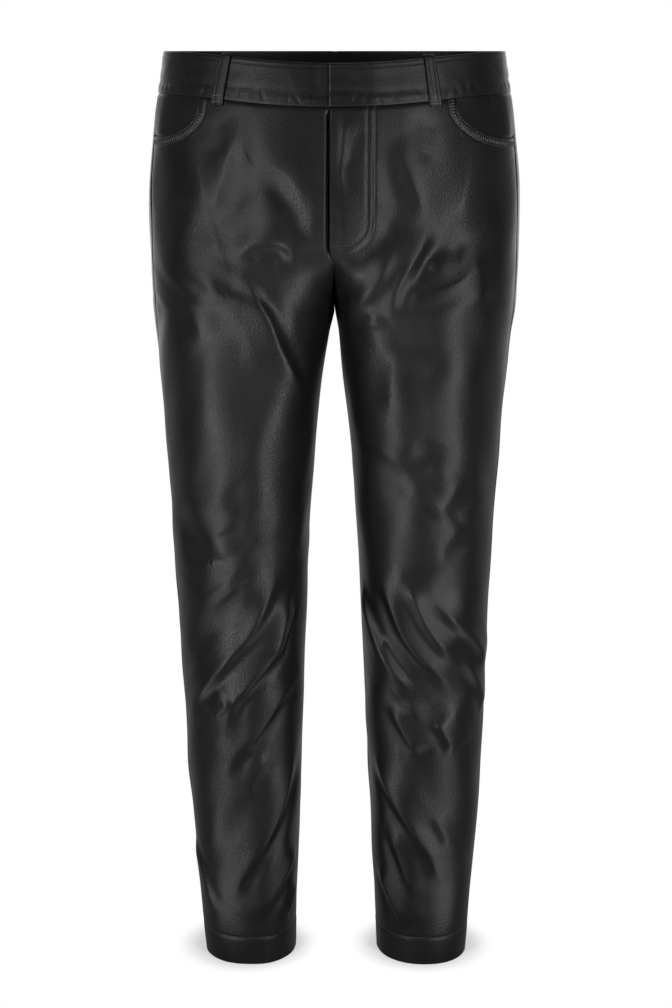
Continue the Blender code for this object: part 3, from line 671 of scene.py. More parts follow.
def pocket_mouth(half, u, side_u):
    """Height of the pocket mouth's edge at these girths, or the waistband seam before it starts."""
    start_u = girth_at(POCKET_STARTS[half], BAND_SEAM)
    start_x = outline(start_u, BAND_SEAM)[0]
    side_x = outline(side_u, BAND_SEAM - POCKET_DEPTH)[0]
    x = outline(u, BAND_SEAM - POCKET_DEPTH / 2)[0]
    across = np.clip((x - start_x) / (side_x - start_x), 0, 1)
    drop = np.sqrt(1.0 - (1.0 - across) ** POCKET_ROUNDNESS)
    mouth = BAND_SEAM - front_dip(start_u) - POCKET_DEPTH * drop
    return np.where(u <= start_u, BAND_SEAM - front_dip(u), mouth)


def front_dip(u):
    """How much lower the waist is cut towards the centre front."""
    return np.where(u < 1.0, FRONT_DIP * np.cos(np.minimum(u, 1.0) * math.pi / 2) ** 4, 0.0)


def front_edge(half, z):
    """Girth of a front's inner edge: past the centre at the fly, at the seam below it."""
    open_x = LAP_EDGE if half == LEFT else -UNDERLAP
    share = smooth(LAP_CLOSES, FLY_END, z)
    return np.where(share > 0.0, girth_at(open_x * share, z), 0.0)


def front_lift(half, u, z):
    """The lap stands a little proud and the underlap sinks below it."""
    across = outline(u, z)[0]
    share = smooth(LAP_CLOSES - LAP_SETTLES, LAP_CLOSES, z)
    if half == LEFT:
        return LAP_LIFT * share * smooth(*LAP_FADES, across)
    sunk = LAP_LIFT * share * smooth(*UNDERLAP_FADES, across)
    return -sunk - under_lap(-across, z)


def under_lap(x, z):
    """How far what lies beneath the lap's edge is pushed in, beside the lap and behind it."""
    below_band = smooth(BAND_SEAM - FRONT_DIP, LAP_PUSH_FULL, z)
    above_end = smooth(LAP_CLOSES, LAP_CLOSES + LAP_PUSH_FADES, z)
    return LAP_PUSHES * below_band * smooth(*LAP_BENDS, x) * above_end


def side_girth(z):
    return section("side_seam", z)


def mouth_course(half):
    """The pocket mouth's edge from the waistband seam to the side, as girths and heights."""
    side_u = side_girth(BAND_SEAM - POCKET_DEPTH)
    start_u = girth_at(POCKET_STARTS[half], BAND_SEAM)
    share = np.linspace(0, 1, 60) ** 2
    girths = start_u + (side_u - start_u) * share
    return girths, pocket_mouth(half, girths, side_u)


MOUTH_STITCHES = (1.6 * MM, 8.2 * MM)   # two rows, from the mouth's edge
MOUTH_ENDS = -0.085
MIDDLE_FRONT = 0.4         # the girth between the fly's stitches and the pockets


def mouth_relief(half, u, z):
    """The doubled, stitched edge of the pocket mouth: a flat welt between two rows."""
    relief = np.zeros(u.shape)
    near = (z > MOUTH_ENDS) & (u > MIDDLE_FRONT) & (u < 1.0)
    off, _ = beside_course(on_surface(*mouth_course(half)), u[near], z[near])
    off = np.abs(off)
    last = MOUTH_STITCHES[1]
    welt = 0.55 * smooth(last + 1.2 * MM, last - 1.2 * MM, off)
    rolled = 0.60 * ridge(off, 0.8 * MM)
    rows = sum(0.70 * ridge(off - row, 1.0 * MM) for row in MOUTH_STITCHES)
    relief[near] = (welt - rolled - rows) * MM
    return relief


FLY_ROWS = (0.0313, 0.0384)    # the two rows of fly stitches, across from the centre
FLY_BEND = -0.1410             # where they start to curve towards the lap's edge
FLY_BEND_CENTRE = 0.0045
FLY_DEPTH = 0.0285
FLY_SWEEP = math.radians(101)
FLY_REACHES = -0.190


def fly_course(reach):
    """A row of fly stitches down and round to the lap's edge, as girths and heights."""
    top = BAND_SEAM - FRONT_DIP + 1 * MM
    straight = np.linspace(top, FLY_BEND, 24)[:-1]
    turn = np.linspace(0, FLY_SWEEP, 26)
    width = reach - FLY_BEND_CENTRE
    depth = FLY_DEPTH - (FLY_ROWS[1] - reach)
    across = np.concatenate((np.full(len(straight), reach), FLY_BEND_CENTRE + width * np.cos(turn)))
    heights = np.concatenate((straight, FLY_BEND - depth * np.sin(turn)))
    return girth_at(across, heights), heights


def fly_relief(u, z):
    """The rows of fly stitches pull the lap in, and the facing behind it stiffens it."""
    relief = np.zeros(u.shape)
    near = (z > FLY_REACHES) & (u < MIDDLE_FRONT)
    for reach in FLY_ROWS:
        off, _ = beside_course(on_surface(*fly_course(reach)), u[near], z[near])
        relief[near] -= 0.65 * MM * ridge(off, 1.3 * MM)
        if reach == FLY_ROWS[1]:
            relief[near] += 0.35 * MM * smooth(1.5 * MM, -2 * MM, off)
    return relief


def front_rise(half, u, z):
    """The front's lift before its sewn edges are sunk."""
    rise = front_lift(half, u, z) + leg_relief(half, u, z) + mouth_relief(half, u, z) + hem_relief(z)
    return rise + fly_relief(u, z) if half == LEFT else rise


def front_leg(half):
    """One front with its lap or underlap, pocket mouth, seams and hem."""
    z = leg_rows(np.full(FRONT_COLUMNS, BAND_SEAM))
    start_u = girth_at(POCKET_STARTS[half], BAND_SEAM)
    for _ in range(5):     # each round brings the rows closer to the pocket mouth's edge
        side_u = side_girth(z)
        start = around(front_edge(half, z), z)
        end = around(side_u, z)
        distance, u = columns_between(start, end, z, FRONT_COLUMNS)
        tuck = SEAM_TUCK * smooth(start_u, start_u - 0.02, u[0])
        top = pocket_mouth(half, u[0], side_u[0]) + tuck
        z = leg_rows(top)
    sewn_top = u[0] <= start_u
    sink = side_sink(end - distance, z)
    sink += np.where(sewn_top[None, :], tuck_sink(BAND_SEAM - front_dip(u) - z), 0.0)
    centre = seam_sink(distance - start) * smooth(LAP_CLOSES + 1 * MM, LAP_CLOSES - 8 * MM, z)
    lap_round = 0.3 * MM * ridge(distance - start, 0.9 * MM)
    lift = front_rise(half, u, z) - sink - np.where(z > LAP_CLOSES, lap_round, 0.0)
    skin = sewn_place(half, u, z, lift, centre)
    inside = sewn_place(half, u, z, lift - cloth_thickness(z), centre)
    keep_to_half(half, (skin, inside), z <= LAP_CLOSES)
    chart = np.stack((distance, z), axis=-1)
    return cloth_piece("cloth_front_" + HALF_NAMES[half], skin, inside, chart, half == RIGHT,
                       (LEATHER, BACKING))


LEG_LENGTHS = ("thigh", "knee", "shin")    # the solids that one leg piece takes the place of
for half in (RIGHT, LEFT):
    front = front_leg(half)
    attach(front, "root")
    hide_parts(*["front_" + HALF_NAMES[half] + "_" + length for length in LEG_LENGTHS])


# ================================================================ the backs
# Each back is one plain cut of the same faux leather, wider than the front at the seat. The centre
# seam joins the two down to the crotch, and the side and inside seams join each to its front.
BACK_TOP_RESTS = 25 * MM   # no hollow runs up into the waistband seam from this far below it
BACK_REST_STARTS = (1.0, 1.2)


def back_leg(half):
    """One back, from the side seam round to the centre back and the inside of the leg."""
    z = leg_rows(np.full(BACK_COLUMNS, BAND_SEAM + SEAM_TUCK))
    start = around(side_girth(z), z)
    end = around(2.0, z)
    distance, u = columns_between(start, end, z, BACK_COLUMNS)
    height = z - front_dip(u) * smooth(DIP_ENDS, BAND_SEAM, z)
    sink = side_sink(distance - start, z) + tuck_sink(BAND_SEAM - z)
    relief = leg_relief(half, u, height)
    rests = smooth(BAND_SEAM - BACK_TOP_RESTS, BAND_SEAM, z) * smooth(*BACK_REST_STARTS, u)
    relief -= np.minimum(relief, 0.0) * rests
    lift = relief + hem_relief(z) - sink
    skin = sewn_place(half, u, height, lift, seam_sink(end - distance))
    inside = sewn_place(half, u, height, lift - cloth_thickness(z), seam_sink(end - distance))
    keep_to_half(half, (skin, inside))
    chart = np.stack((distance, z), axis=-1)
    return cloth_piece("cloth_back_" + HALF_NAMES[half], skin, inside, chart, half == RIGHT,
                       (LEATHER, BACKING))


for half in (RIGHT, LEFT):
    back = back_leg(half)
    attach(back, "root")
    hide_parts(*["back_" + HALF_NAMES[half] + "_" + length for length in LEG_LENGTHS])


# ================================================================ the hip pocket facings
# The same faux leather shows inside each pocket's mouth. A facing 1.5 mm thick lies behind the
# front, runs on 12 mm below the mouth, and comes up to the surface where it is sewn in at the side.
LAYER_GAP = 0.3 * MM
FACING_SINK = CLOTH + 2 * LAYER_GAP
FACING_UNDERLAP = 12 * MM
FACING_RISES = (34 * MM, 12 * MM)  # from the side seam
FACING_GRID = (61, 71)


def pocket_facing(half):
    """The cloth behind a pocket's mouth."""
    share = np.linspace(0, 1, FACING_GRID[0])[:, None]
    top = BAND_SEAM + SEAM_TUCK
    z = top - (SEAM_TUCK + POCKET_DEPTH + FACING_UNDERLAP) * share + np.zeros((1, FACING_GRID[1]))
    first = girth_at(POCKET_STARTS[half] - 12 * MM, z)
    start, end = around(first, z), around(side_girth(z), z)
    distance = start + (end - start) * np.linspace(0, 1, FACING_GRID[1])[None, :]
    u = girth_of(distance, z)
    height = z - front_dip(u) * (1 - share)
    mouth_end = pocket_mouth(half, side_girth(z), side_girth(z))
    in_mouth = smooth(mouth_end - 1 * MM, mouth_end + 5 * MM, z)
    risen = smooth(*FACING_RISES, end - distance) * in_mouth
    sunk_edges = side_sink(end - distance, z) + tuck_sink(BAND_SEAM - z)
    sink = FACING_SINK * (1 - risen) + sunk_edges * risen
    ripple = 0.35 * MM * np.sin(distance / (9 * MM) + 40 * z) * smooth(0, 8 * MM, end - distance)
    lift = leg_relief(half, u, height) - sink
    skin = place(half, u, height, lift - ripple * smooth(BAND_SEAM, BAND_SEAM - 6 * MM, z))
    inside = place(half, u, height, lift - CLOTH)
    return cloth_piece("cloth_pocket_facing_" + HALF_NAMES[half], skin, inside,
                       np.stack((distance, z), axis=-1), half == RIGHT, (LEATHER, BACKING))


for half in (RIGHT, LEFT):
    facing = pocket_facing(half)
    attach(facing, "root")
    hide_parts("pocket_facing_" + HALF_NAMES[half])


# ================================================================ the fly shield and the zip
# Behind the lap, a shield of faux leather backs the opening and a nylon coil zip on woven tape is
# sewn to the lap. Only their edges show, from above. The zip is shut; its slider, which lies flat, is
# not built.
ZIP_CLOTH = 1.2 * MM
SHIELD_REACH = (-0.008, 0.036)
ZIP_REACH = (0.0063, 0.0275)
FLY_GRID = (71, 23)
SHIELD_CUT = (0.044, 0.137)
ZIP_CUT = (0.0212, 0.137)


def fly_layer(name, reach, sink, finish):
    """A strip behind the lap, from the waistband seam to the fly's end."""
    across = np.linspace(reach[0], reach[1], FLY_GRID[1])[None, :]
    share = np.linspace(0, 1, FLY_GRID[0])[:, None]
    top = BAND_SEAM - LAYER_GAP - FRONT_DIP
    z = top + (FLY_END - top) * share + 0 * across
    u = girth_at(across + 0 * z, z)
    wave = 0.15 * MM * np.sin(z / (13 * MM) + across / (6 * MM))
    lift = wave - sink - under_lap(across, z)
    skin = place(LEFT, u, z, lift)
    inside = place(LEFT, u, z, lift - ZIP_CLOTH)
    chart = np.stack((across + 0 * z, z), axis=-1)
    return cloth_piece(name, skin, inside, chart, False, (finish, finish))


# The zip's woven polyester tape: matt black with a fine straight rib.
def zip_weave():
    finish, tree, shader = new_finish("woven_zip_tape")
    where = add_node(tree, "ShaderNodeUVMap", {"uv_map": "cloth"})
    ribs = add_node(tree, "ShaderNodeTexWave", {"bands_direction": "Y"}, Vector=(where, 0),
                    Scale=1 / (2 * MM))
    raised = add_node(tree, "ShaderNodeBump", Height=(ribs, 1), Strength=0.5, Distance=0.15 * MM)
    set_inputs(tree, shader, Base_Color=linear("101011"), Normal=(raised, 0), Roughness=0.85)
    return finish


shield = fly_layer("cloth_fly_shield", SHIELD_REACH, LAP_LIFT + CLOTH + LAYER_GAP, LEATHER)
zip_tape = fly_layer("cloth_fly_zip", ZIP_REACH, LAP_LIFT + LAYER_GAP / 2, zip_weave())
for layer, node, slot, cut in ((shield, "fly_shield", "faux_leather", SHIELD_CUT),
                               (zip_tape, "fly_zip", "zip_tape", ZIP_CUT)):
    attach(layer, "root")
    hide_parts(node)


# ================================================================ the waistband
# Two curved strips of the same faux leather, each folded over at the top and sewn down again, so
# that it is 2.4 mm thick and 40 mm tall. They are joined at the centre back. The left one's front
# end laps over the right one's, and the cloth puckers above the seam that it was sewn on with.
BAND_CLOTH = 2.4 * MM
BAND_UNDERLAP = 0.0310
BAND_LAP_LIFT = 1.4 * MM
BAND_STANDS_OUT = 0.6 * MM
BAND_ROWS = 45
BAND_COLUMNS = 401


def band_lift(half, u, z):
    """The left end laps over the right one, at the front alone."""
    across = np.where(u < 1.0, outline(u, z)[0], LAP_FADES[0])
    if half == LEFT:
        return BAND_LAP_LIFT * smooth(*LAP_FADES, across)
    return -BAND_LAP_LIFT * smooth(*UNDERLAP_FADES, across)


def band_relief(half, distance, up):
    """Ridge and troughs along the band, and the puckers between them and the seam."""
    random = np.random.default_rng(31 + half)
    slow = np.sin(distance / 0.031 + half) + 0.6 * np.sin(distance / 0.0147 + 2 * half)
    comes = 0.55 + 0.45 * np.sin(distance / 0.043 + 2.2 * half)
    goes = 0.50 + 0.50 * np.sin(distance / 0.027 - half)
    # the long trough and ridge near the seam, a shallow trough above, and the folded top edge
    relief = -0.75 * comes * ridge(up - 12.5 * MM - slow * 1.5 * MM, 3.0 * MM)
    relief += 0.45 * goes * ridge(up - 6.5 * MM - slow * 0.6 * MM, 2.8 * MM)
    relief -= 0.50 * comes * ridge(up - 26.5 * MM - slow * 2.6 * MM, 6.0 * MM)
    relief -= 0.35 * ridge(up - 36.5 * MM, 1.5 * MM)
    at = distance.min()    # short puckers up from the seam
    while at < distance.max():
        at += random.uniform(7, 17) * MM
        deep = random.uniform(0.15, 0.55)
        lean = random.uniform(-0.7, 0.7)
        height = random.uniform(4.0, 9.0) * MM
        width = random.uniform(1.6, 3.2) * MM
        off = (distance - at) - lean * (up - height)
        relief -= deep * np.exp(-((off / width) ** 2) - (((up - height) / (4.5 * MM)) ** 2))
    at = distance.min()    # broad, slight waves halfway up
    while at < distance.max():
        at += random.uniform(14, 34) * MM
        deep = random.uniform(-0.35, 0.45)
        lean = random.uniform(-1.5, 1.5)
        off = (distance - at) - lean * (up - 24 * MM)
        relief -= deep * np.exp(-((off / (6 * MM)) ** 2) - (((up - 24 * MM) / (9 * MM)) ** 2))
    return relief * MM


def waistband(half):
    """Half of the waistband, from its lapped front end to the centre-back seam."""
    rows = stations(0.0, BAND_HEIGHT, BAND_ROWS)[:, None]
    z = WAIST_TOP - rows + np.zeros((1, BAND_COLUMNS))
    front_end = -BAND_UNDERLAP if half == RIGHT else LAP_EDGE - 1 * MM
    start, end = around(girth_at(front_end, z), z), around(2.0, z)
    distance, u = columns_between(start, end, z, BAND_COLUMNS)
    up = BAND_HEIGHT - rows + 0 * z
    rolled = 0.55 * MM * ridge(rows, 1.1 * MM) + 0.5 * MM * ridge(up, 1.0 * MM)
    rolled = rolled + 0.5 * MM * ridge(distance - start, 1.1 * MM)
    lift = band_lift(half, u, z) + BAND_STANDS_OUT
    sunk = rolled + seam_sink(end - distance)
    skin = place(half, u, z - front_dip(u), lift + band_relief(half, distance, up) - sunk)
    inside = place(half, u, z - front_dip(u), lift - BAND_CLOTH + rolled * 0.6)
    keep_to_half(half, (skin, inside), u > 1.0)
    return cloth_piece("cloth_waistband_" + HALF_NAMES[half], skin, inside,
                       np.stack((distance, z), axis=-1), half == RIGHT, (LEATHER, LEATHER))


for half in (RIGHT, LEFT):
    band = waistband(half)
    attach(band, "root")
    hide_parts("waistband_" + HALF_NAMES[half])


# ================================================================ the belt loops
# Five straps, each folded in three and stitched along both edges, 11.5 mm wide and 1.4 mm thick.
# The upper end turns over the band's top edge and the foot is tucked under and tacked below it.
LOOP_WIDTH = 11.5 * MM
LOOP_CLOTH = 1.4 * MM
LOOPS = {
    "front_right": (RIGHT, 0.398, 0.420),
    "front_left": (LEFT, 0.338, 0.350),
    "back_right": (RIGHT, 1.460, 1.460),
    "back_left": (LEFT, 1.460, 1.460),
    "back_centre": (LEFT, 2.000, 2.000),
}
LOOP_STITCHES = 3.3 * MM   # each row, from the strap's middle
LOOP_THREAD_LIES = 0.55 * MM
BAR_LIES = 0.95 * MM
BAR_REACH = 0.42           # of the strap's width, to either side
LOOP_TACK = -0.0440        # where the foot is tacked down
# down the strap: height above the waist's top edge or below it, and how far it stands off the band
LOOP_FOOT = ((-0.0200, 0.0023), (-0.0340, 0.0021), (-0.0390, 0.0014), (-0.0415, 0.0006),
             (LOOP_TACK, 0.0003), (-0.0462, 0.0002))
FRONT_LOOP_COURSE = (
    (-0.0075, -0.0034), (-0.0030, -0.0033), (0.0004, -0.0027), (0.0021, -0.0012), (0.0024, 0.0003),
    (0.0014, 0.0014), (-0.0010, 0.0019), (-0.0060, 0.0021)) + LOOP_FOOT
BACK_LOOP_COURSE = (
    (-0.0048, 0.0003), (-0.0026, 0.0003), (-0.0012, 0.0008), (-0.0012, 0.0015), (-0.0028, 0.0020),
    (-0.0080, 0.0022)) + LOOP_FOOT


def loop_form(name):
    """A loop's course, its share of the way down, and its surface as a function."""
    half, top_u, foot_u = LOOPS[name]
    course = smooth_course(FRONT_LOOP_COURSE if top_u < 1.0 else BACK_LOOP_COURSE, 6)
    course = course[:len(course) - 1 + len(course) % 2]
    down = np.clip(-course[:, 0] / BAND_HEIGHT, 0.0, 1.1)
    z = WAIST_TOP + course[:, 0]
    u = top_u + (foot_u - top_u) * down
    height = z - front_dip(u)
    stand = course[:, 1] + BAND_STANDS_OUT + band_lift(half, u, z)
    out_x, out_y = outward(np.minimum(u, 1.999), height)
    middle_x, middle_y = outline(u, height)
    tilt = np.gradient(course, axis=0)
    tilt /= np.linalg.norm(tilt, axis=1, keepdims=True)
    face_out, face_up = -tilt[:, 0], tilt[:, 1]
    lean = section("lean", height)

    def strap(extra, off):
        out = stand + extra * face_out
        return np.stack((half * (middle_x + out * out_x - off * out_y) + lean,
                         middle_y + out * out_y + off * out_x, height + extra * face_up), axis=-1)

    return course, down, strap


def belt_loop(name):
    """One strap over the waistband."""
    half = LOOPS[name][0]
    course, down, strap = loop_form(name)
    flare = 1.0 + 0.14 * smooth(0.45, 1.1, down) - 0.10 * smooth(0.5, 0.0, down)
    pinch = 0.35 * MM * ridge(course[:, 0] - LOOP_TACK, 0.9 * MM)
    skin, inside, chart = [], [], []
    for across in np.linspace(-1, 1, 17):
        off = across * LOOP_WIDTH / 2 * flare
        dome = 0.45 * MM * (1 - across**2)
        grooves = 0.40 * MM * ridge(np.abs(off) - LOOP_STITCHES, 0.55 * MM)
        rolled = 0.35 * MM * abs(across) ** 6
        skin.append(strap(LOOP_CLOTH / 2 + dome - grooves - rolled - pinch, off))
        inside.append(strap(-LOOP_CLOTH / 2 + rolled + 0 * off, off))
        chart.append(np.stack((off, course[:, 0]), axis=-1))
    return cloth_piece("cloth_belt_loop_" + name, np.stack(skin, axis=1), np.stack(inside, axis=1),
                       np.stack(chart, axis=1), half == LEFT, (LEATHER, LEATHER))


for name in LOOPS:
    loop = belt_loop(name)
    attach(loop, "root")
    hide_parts("belt_loop_" + name)


# ================================================================ the stitches
# Black polyester thread, 3 mm a stitch, coloured lighter than black as a painted highlight: two rows
# along each pocket mouth with short stitches across between them, two rows down the fly, one round
# each hem and along both edges of each loop, and two bars at each loop's foot.
PITCH = 3.0 * MM
STITCH = (2.4 * MM, 0.65 * MM)
BAR_PITCH = 0.9 * MM
RUNG_PITCH = 2.8 * MM              # short stitches across, between a pocket mouth's two rows
RUNG = (4.6 * MM, 1.10 * MM)
RUNG_PROUD = 0.25 * MM
THREAD_PROUD = 0.10 * MM
ROW_CLEARS = (4 * MM, 0.004)       # below the waistband's seam, and in girth before the side seam
LOOP_BARS = (-0.0365, -0.0425)     # the heights of the bars, from the waist's top edge
COIL_PITCH = 1.5 * MM
COIL_TOOTH = (3.2 * MM, 0.9 * MM)


def stitch_thread():
    finish, tree, shader = new_finish("black_polyester_thread_painted_highlight")
    # grey rather than black: a painted highlight for the light that the stitches and zip teeth catch
    set_inputs(tree, shader, Base_Color=linear("3a3a3d"), Roughness=0.5)
    return finish


def stitch_tree(thread):
    """Geometry Nodes: a stitch on every point, turned along its row and out of the cloth."""
    tree = bpy.data.node_groups.new("stitches", "GeometryNodeTree")
    sockets = {}
    for label, kind in (("Rows", "Geometry"), ("Stitch Length", "Float"), ("Stitch Width", "Float"),
                        ("Unevenness", "Float"), ("Seed", "Int")):
        socket = tree.interface.new_socket(label, in_out="INPUT", socket_type="NodeSocket" + kind)
        sockets[label] = socket.identifier
    tree.interface.new_socket("Stitches", in_out="OUTPUT", socket_type="NodeSocketGeometry")
    given = add_node(tree, "NodeGroupInput")
    width = (given, "Stitch Width")
    size = add_node(tree, "ShaderNodeCombineXYZ", X=(given, "Stitch Length"), Y=width, Z=width)
    bead = add_node(tree, "GeometryNodeMeshUVSphere", Segments=8, Rings=5, Radius=0.5)
    bead = add_node(tree, "GeometryNodeTransform", Geometry=(bead, "Mesh"), Scale=(size, 0))
    bead = add_node(tree, "GeometryNodeSetShadeSmooth", Geometry=(bead, 0))
    along, out = (add_node(tree, "GeometryNodeInputNamedAttribute", {"data_type": "FLOAT_VECTOR"},
                           Name=name) for name in ("along", "out"))
    turn = add_node(tree, "FunctionNodeAxesToRotation", {"primary_axis": "X", "secondary_axis": "Z"},
                    _0=(along, 0), _1=(out, 0))
    points = add_node(tree, "GeometryNodeMeshToPoints", Mesh=(given, "Rows"))
    low = add_math(tree, "SUBTRACT", 1.0, (given, "Unevenness"))
    uneven = add_node(tree, "FunctionNodeRandomValue", {"data_type": "FLOAT"}, _2=(low, 0), _3=1.0,
                      Seed=(given, "Seed"))
    sewn = add_node(tree, "GeometryNodeInstanceOnPoints", Points=(points, 0), Instance=(bead, 0),
                    Rotation=(turn, 0), Scale=(uneven, 1))
    real = add_node(tree, "GeometryNodeRealizeInstances", Geometry=(sewn, 0))
    dyed = add_node(tree, "GeometryNodeSetMaterial", Geometry=(real, 0), Material=thread)
    add_node(tree, "NodeGroupOutput", Stitches=(dyed, 0))
    return tree, sockets


STITCHES, STITCH_SOCKETS = stitch_tree(stitch_thread())


def row_points(course, outs, pitch):
    """Evenly spaced stitch places on a course of points: place, direction and way out."""
    run = np.concatenate(((0.0,), np.cumsum(np.linalg.norm(np.diff(course, axis=0), axis=1))))
    middles = np.arange(pitch / 2, run[-1], pitch)

    def at(distances, values):
        return np.stack([np.interp(distances, run, values[:, axis]) for axis in range(3)], axis=1)

    along = at(middles + pitch / 3, course) - at(middles - pitch / 3, course)
    return at(middles, course), along, at(middles, outs)


def cloth_row(half, u, z, rise, pitch=PITCH):
    """Stitch places on the cloth of a leg, along girths and heights."""
    out_x, out_y = outward(u, z)
    outs = np.stack((half * out_x, out_y, 0 * out_x), axis=1)
    return row_points(place(half, u, z, rise + THREAD_PROUD), outs, pitch)


def sewn(name, rows, size=STITCH, uneven=0.15, seed=5):
    """Rows of stitches as one piece."""
    places, along, outs = (np.vstack(part) for part in zip(*rows))
    mesh = bpy.data.meshes.new(name + "_places")
    mesh.from_pydata(places.tolist(), [], [])
    for label, values in (("along", along), ("out", outs)):
        field = mesh.attributes.new(label, "FLOAT_VECTOR", "POINT")
        field.data.foreach_set("vector", values.astype(np.float32).ravel())
    base = add_object(name + "_places", mesh)
    maker = base.modifiers.new("stitches", "NODES")
    maker.node_group = STITCHES
    for label, value in (("Stitch Length", size[0]), ("Stitch Width", size[1]),
                         ("Unevenness", uneven), ("Seed", seed)):
        maker[STITCH_SOCKETS[label]] = value
    evaluated = base.evaluated_get(bpy.context.evaluated_depsgraph_get())
    made = bpy.data.meshes.new_from_object(evaluated)
    made.name = name
    bpy.data.objects.remove(base)
    piece = add_object(name, made)
    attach(piece, "root")


def beside(girths, heights, offset):
    """A course moved by an offset across itself, downwards for a course that runs outwards."""
    distance = around(girths, heights)
    along, up = np.gradient(distance), np.gradient(heights)
    length = np.hypot(along, up)
    moved, height = distance + offset * up / length, heights - offset * along / length
    return girth_of(moved, height), height


def mouth_row(half, offset, proud=0.0, pitch=PITCH):
    """Stitch places beside a pocket's mouth, clear of the waistband and the side seam."""
    u, z = beside(*mouth_course(half), offset)
    clear = (z < BAND_SEAM - ROW_CLEARS[0]) & (u < side_girth(z) - ROW_CLEARS[1])
    u, z = u[clear], z[clear]
    return cloth_row(half, u, z, front_rise(half, u, z) + proud, pitch)


def hem_row(half, first, last, count):
    """Stitch places round a hem, between two girths of the front or of the back."""
    u = np.linspace(first, last, count)
    z = np.full(u.shape, HEM_STITCHES)
    rise = front_rise(half, u, z) if last < 1.0 else leg_relief(half, u, z) + hem_relief(z)
    return cloth_row(half, u, z, rise)


hem_side = float(side_girth(np.array(HEM_STITCHES)))
for half in (RIGHT, LEFT):
    rows = [mouth_row(half, offset) for offset in MOUTH_STITCHES]
    places, along, outs = mouth_row(half, sum(MOUTH_STITCHES) / 2, RUNG_PROUD, RUNG_PITCH)
    rungs = [(places, np.cross(along, outs), outs)]
    sewn("rungs_front_" + HALF_NAMES[half], rungs, RUNG, seed=17 + half)
    if half == LEFT:
        for reach in FLY_ROWS:
            u, z = fly_course(reach)
            rows.append(cloth_row(half, u, z, front_rise(half, u, z)))
    rows.append(hem_row(half, 0.02, hem_side - 0.01, 90))
    sewn("stitches_front_" + HALF_NAMES[half], rows, seed=8 + half)
    sewn("stitches_back_" + HALF_NAMES[half], [hem_row(half, hem_side + 0.01, 1.98, 110)],
         seed=11 + half)

for name in LOOPS:
    rows = []
    course, _, strap = loop_form(name)
    shown = course[:, 0] < 0.0
    for side in (-LOOP_STITCHES, LOOP_STITCHES):
        line = strap(LOOP_THREAD_LIES, side)
        rows.append(row_points(line[shown], (line - strap(0.0, side))[shown], PITCH))
    for height in LOOP_BARS:
        at = int(np.argmin(np.abs(course[:, 0] - height)))
        spread = np.linspace(-BAR_REACH, BAR_REACH, 12) * LOOP_WIDTH
        bar = np.stack([strap(BAR_LIES, side)[at] for side in spread])
        below = np.stack([strap(0.0, side)[at] for side in spread])
        rows.append(row_points(bar, bar - below, BAR_PITCH))
    sewn("stitches_loop_" + name, rows, seed=21)

heights = np.linspace(BAND_SEAM - FRONT_DIP - 6 * MM, FLY_END + 4 * MM, 60)
girths = girth_at(np.full(60, ZIP_REACH[0] + COIL_TOOTH[0] / 2), heights)
rise = -LAP_LIFT - LAYER_GAP / 2 - under_lap(ZIP_REACH[0], heights)
places, along, outs = cloth_row(LEFT, girths, heights, rise, COIL_PITCH)
sewn("zip_coil", [(places, np.cross(along, outs), outs)], COIL_TOOTH, 0.0, 3)


# ================================================================ floor, light and camera
# A plain white studio: a pale floor that keeps the soft shadow, two tall softboxes before the
# trousers and two behind them, strips of light on the floor that carry the front ones' reflections
# on down the legs, and a camera at waist height looking a little down.
FLOOR = HEM - 0.4 * MM
LEG_FROM_CENTRE = 0.095
SHADOW_REACH = (0.048, 0.080)      # each hem's shadow on the floor, from the leg's middle
STRIP_HEIGHT = FLOOR + 0.02


def soft_box(name, azimuth, distance, height, size, power_watts, tilt=90.0):
    """A softbox facing the trousers; azimuth 0 is straight before them, a tilt of 180 faces up."""
    light = bpy.data.lights.new(name, "AREA")
    light.shape = "RECTANGLE"
    light.size, light.size_y = size
    light.energy = power_watts
    lamp = add_object(name, light)
    angle = math.radians(azimuth)
    lamp.location = (distance * math.sin(angle), -distance * math.cos(angle), height)
    lamp.rotation_euler = (math.radians(tilt), 0.0, angle)
    lamp.visible_camera = False


for half in (RIGHT, LEFT):
    side = "_" + HALF_NAMES[half]
    soft_box("softbox_front" + side, half * 35, 2.4, 0.0, (0.38, 1.8), 31)
    soft_box("low_strip" + side, half * 35, 1.15, STRIP_HEIGHT, (0.32, 1.5), 20, 176)
    soft_box("near_strip" + side, half * 50, 0.33, STRIP_HEIGHT, (0.13, 0.28), 0.42, 176)
    soft_box("softbox_back" + side, half * 150, 2.6, 0.35, (1.00, 2.1), 12)


def eased(tree, value, low, high, first, last):
    """A Map Range node with soft ends."""
    return add_node(tree, "ShaderNodeMapRange", {"interpolation_type": "SMOOTHSTEP"},
                    Value=value, _1=low, _2=high, _3=first, _4=last)


# the room is plain white to look at, dim on the cloth, and darker before it than behind in its gloss
WHITE = (1.0, 1.0, 1.0, 1.0)
room = bpy.data.worlds.new("white_room")
room.use_nodes = True
tree = room.node_tree
tree.nodes.clear()
rays = add_node(tree, "ShaderNodeLightPath")
seen = add_math(tree, "MAXIMUM", (rays, "Is Camera Ray"), (rays, "Is Transmission Ray"))
way = add_node(tree, "ShaderNodeSeparateXYZ", _0=(add_node(tree, "ShaderNodeTexCoord"), "Generated"))
backdrop = eased(tree, (way, "Y"), -0.15, 0.45, 0.07, 0.5)
ambient = add_node(tree, "ShaderNodeBackground", Color=WHITE, Strength=0.28)
mirrored = add_node(tree, "ShaderNodeBackground", Color=WHITE, Strength=(backdrop, 0))
white = add_node(tree, "ShaderNodeBackground", Color=WHITE, Strength=1.0)
unseen = add_node(tree, "ShaderNodeMixShader", _0=(rays, "Is Glossy Ray"), _1=(ambient, 0),
                  _2=(mirrored, 0))
mix = add_node(tree, "ShaderNodeMixShader", _0=(seen, 0), _1=(unseen, 0), _2=(white, 0))
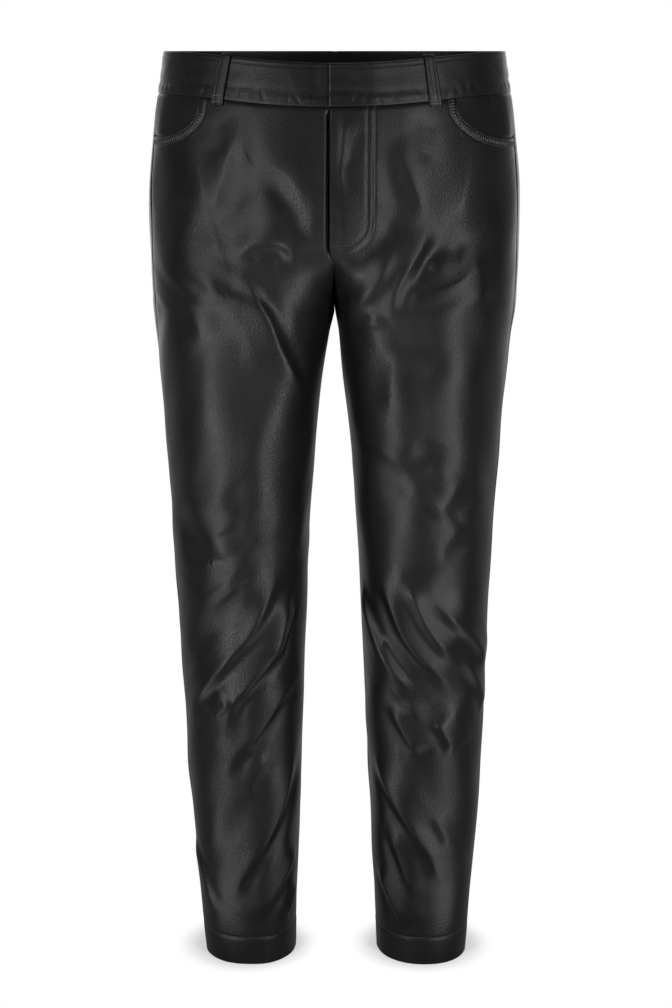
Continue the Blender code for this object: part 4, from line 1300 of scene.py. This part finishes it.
add_node(tree, "ShaderNodeOutputWorld", Surface=(mix, 0))
bpy.context.scene.world = room

# white paper on the floor, 8 m across, which keeps a shadow only beside the hems
turns = np.linspace(0, 2 * math.pi, 97)[:-1]
rim = np.stack((4.0 * np.cos(turns), 4.0 * np.sin(turns), np.full(96, FLOOR)), axis=1)
floor_mesh = bpy.data.meshes.new("studio_floor")
floor_mesh.from_pydata(rim.tolist(), [], [list(range(96))])
studio_floor = add_object("studio_floor", floor_mesh)
paper = bpy.data.materials.new("white_studio_paper")
paper.use_nodes = True
tree = paper.node_tree
tree.nodes.clear()
where = add_node(tree, "ShaderNodeTexCoord")
way = add_node(tree, "ShaderNodeSeparateXYZ", _0=(where, "Object"))
aside = add_node(tree, "ShaderNodeMath", {"operation": "ABSOLUTE"}, _0=(way, "X"))
aside = add_math(tree, "SUBTRACT", (aside, 0), LEG_FROM_CENTRE)
from_leg = add_node(tree, "ShaderNodeCombineXYZ", X=(aside, 0), Y=(way, "Y"))
radius = add_node(tree, "ShaderNodeVectorMath", {"operation": "LENGTH"}, _0=(from_leg, 0))
open_floor = eased(tree, (radius, "Value"), *SHADOW_REACH, 0.45, 1.0)
rays = add_node(tree, "ShaderNodeLightPath")
pictured = add_math(tree, "MULTIPLY", (rays, "Is Camera Ray"), (open_floor, 0))
reflected = add_math(tree, "MAXIMUM", (rays, "Is Glossy Ray"), (rays, "Is Transmission Ray"))
whitened = add_math(tree, "MAXIMUM", (pictured, 0), (reflected, 0))
behind = eased(tree, (way, "Y"), -0.30, 0.45, 0.10, 0.5)
glow = add_math(tree, "MAXIMUM", (behind, 0), (rays, "Is Camera Ray"))
matt = add_node(tree, "ShaderNodeBsdfDiffuse", Color=(0.9, 0.9, 0.9, 1.0))
bright = add_node(tree, "ShaderNodeEmission", Color=WHITE, Strength=(glow, 0))
mix = add_node(tree, "ShaderNodeMixShader", _0=(whitened, 0), _1=(matt, 0), _2=(bright, 0))
add_node(tree, "ShaderNodeOutputMaterial", Surface=(mix, 0))
floor_mesh.materials.append(paper)

lens = bpy.data.cameras.new("camera")
lens.sensor_fit = "VERTICAL"
lens.sensor_height = 24.0
lens.lens = 48.04
camera = add_object("camera", lens)
camera.location = (0.0015, -2.05, 0.022)
camera.rotation_euler = (math.radians(90 - 12.70), 0.0, 0.0)
bpy.context.scene.camera = camera
bpy.context.scene.view_settings.view_transform = "Standard"
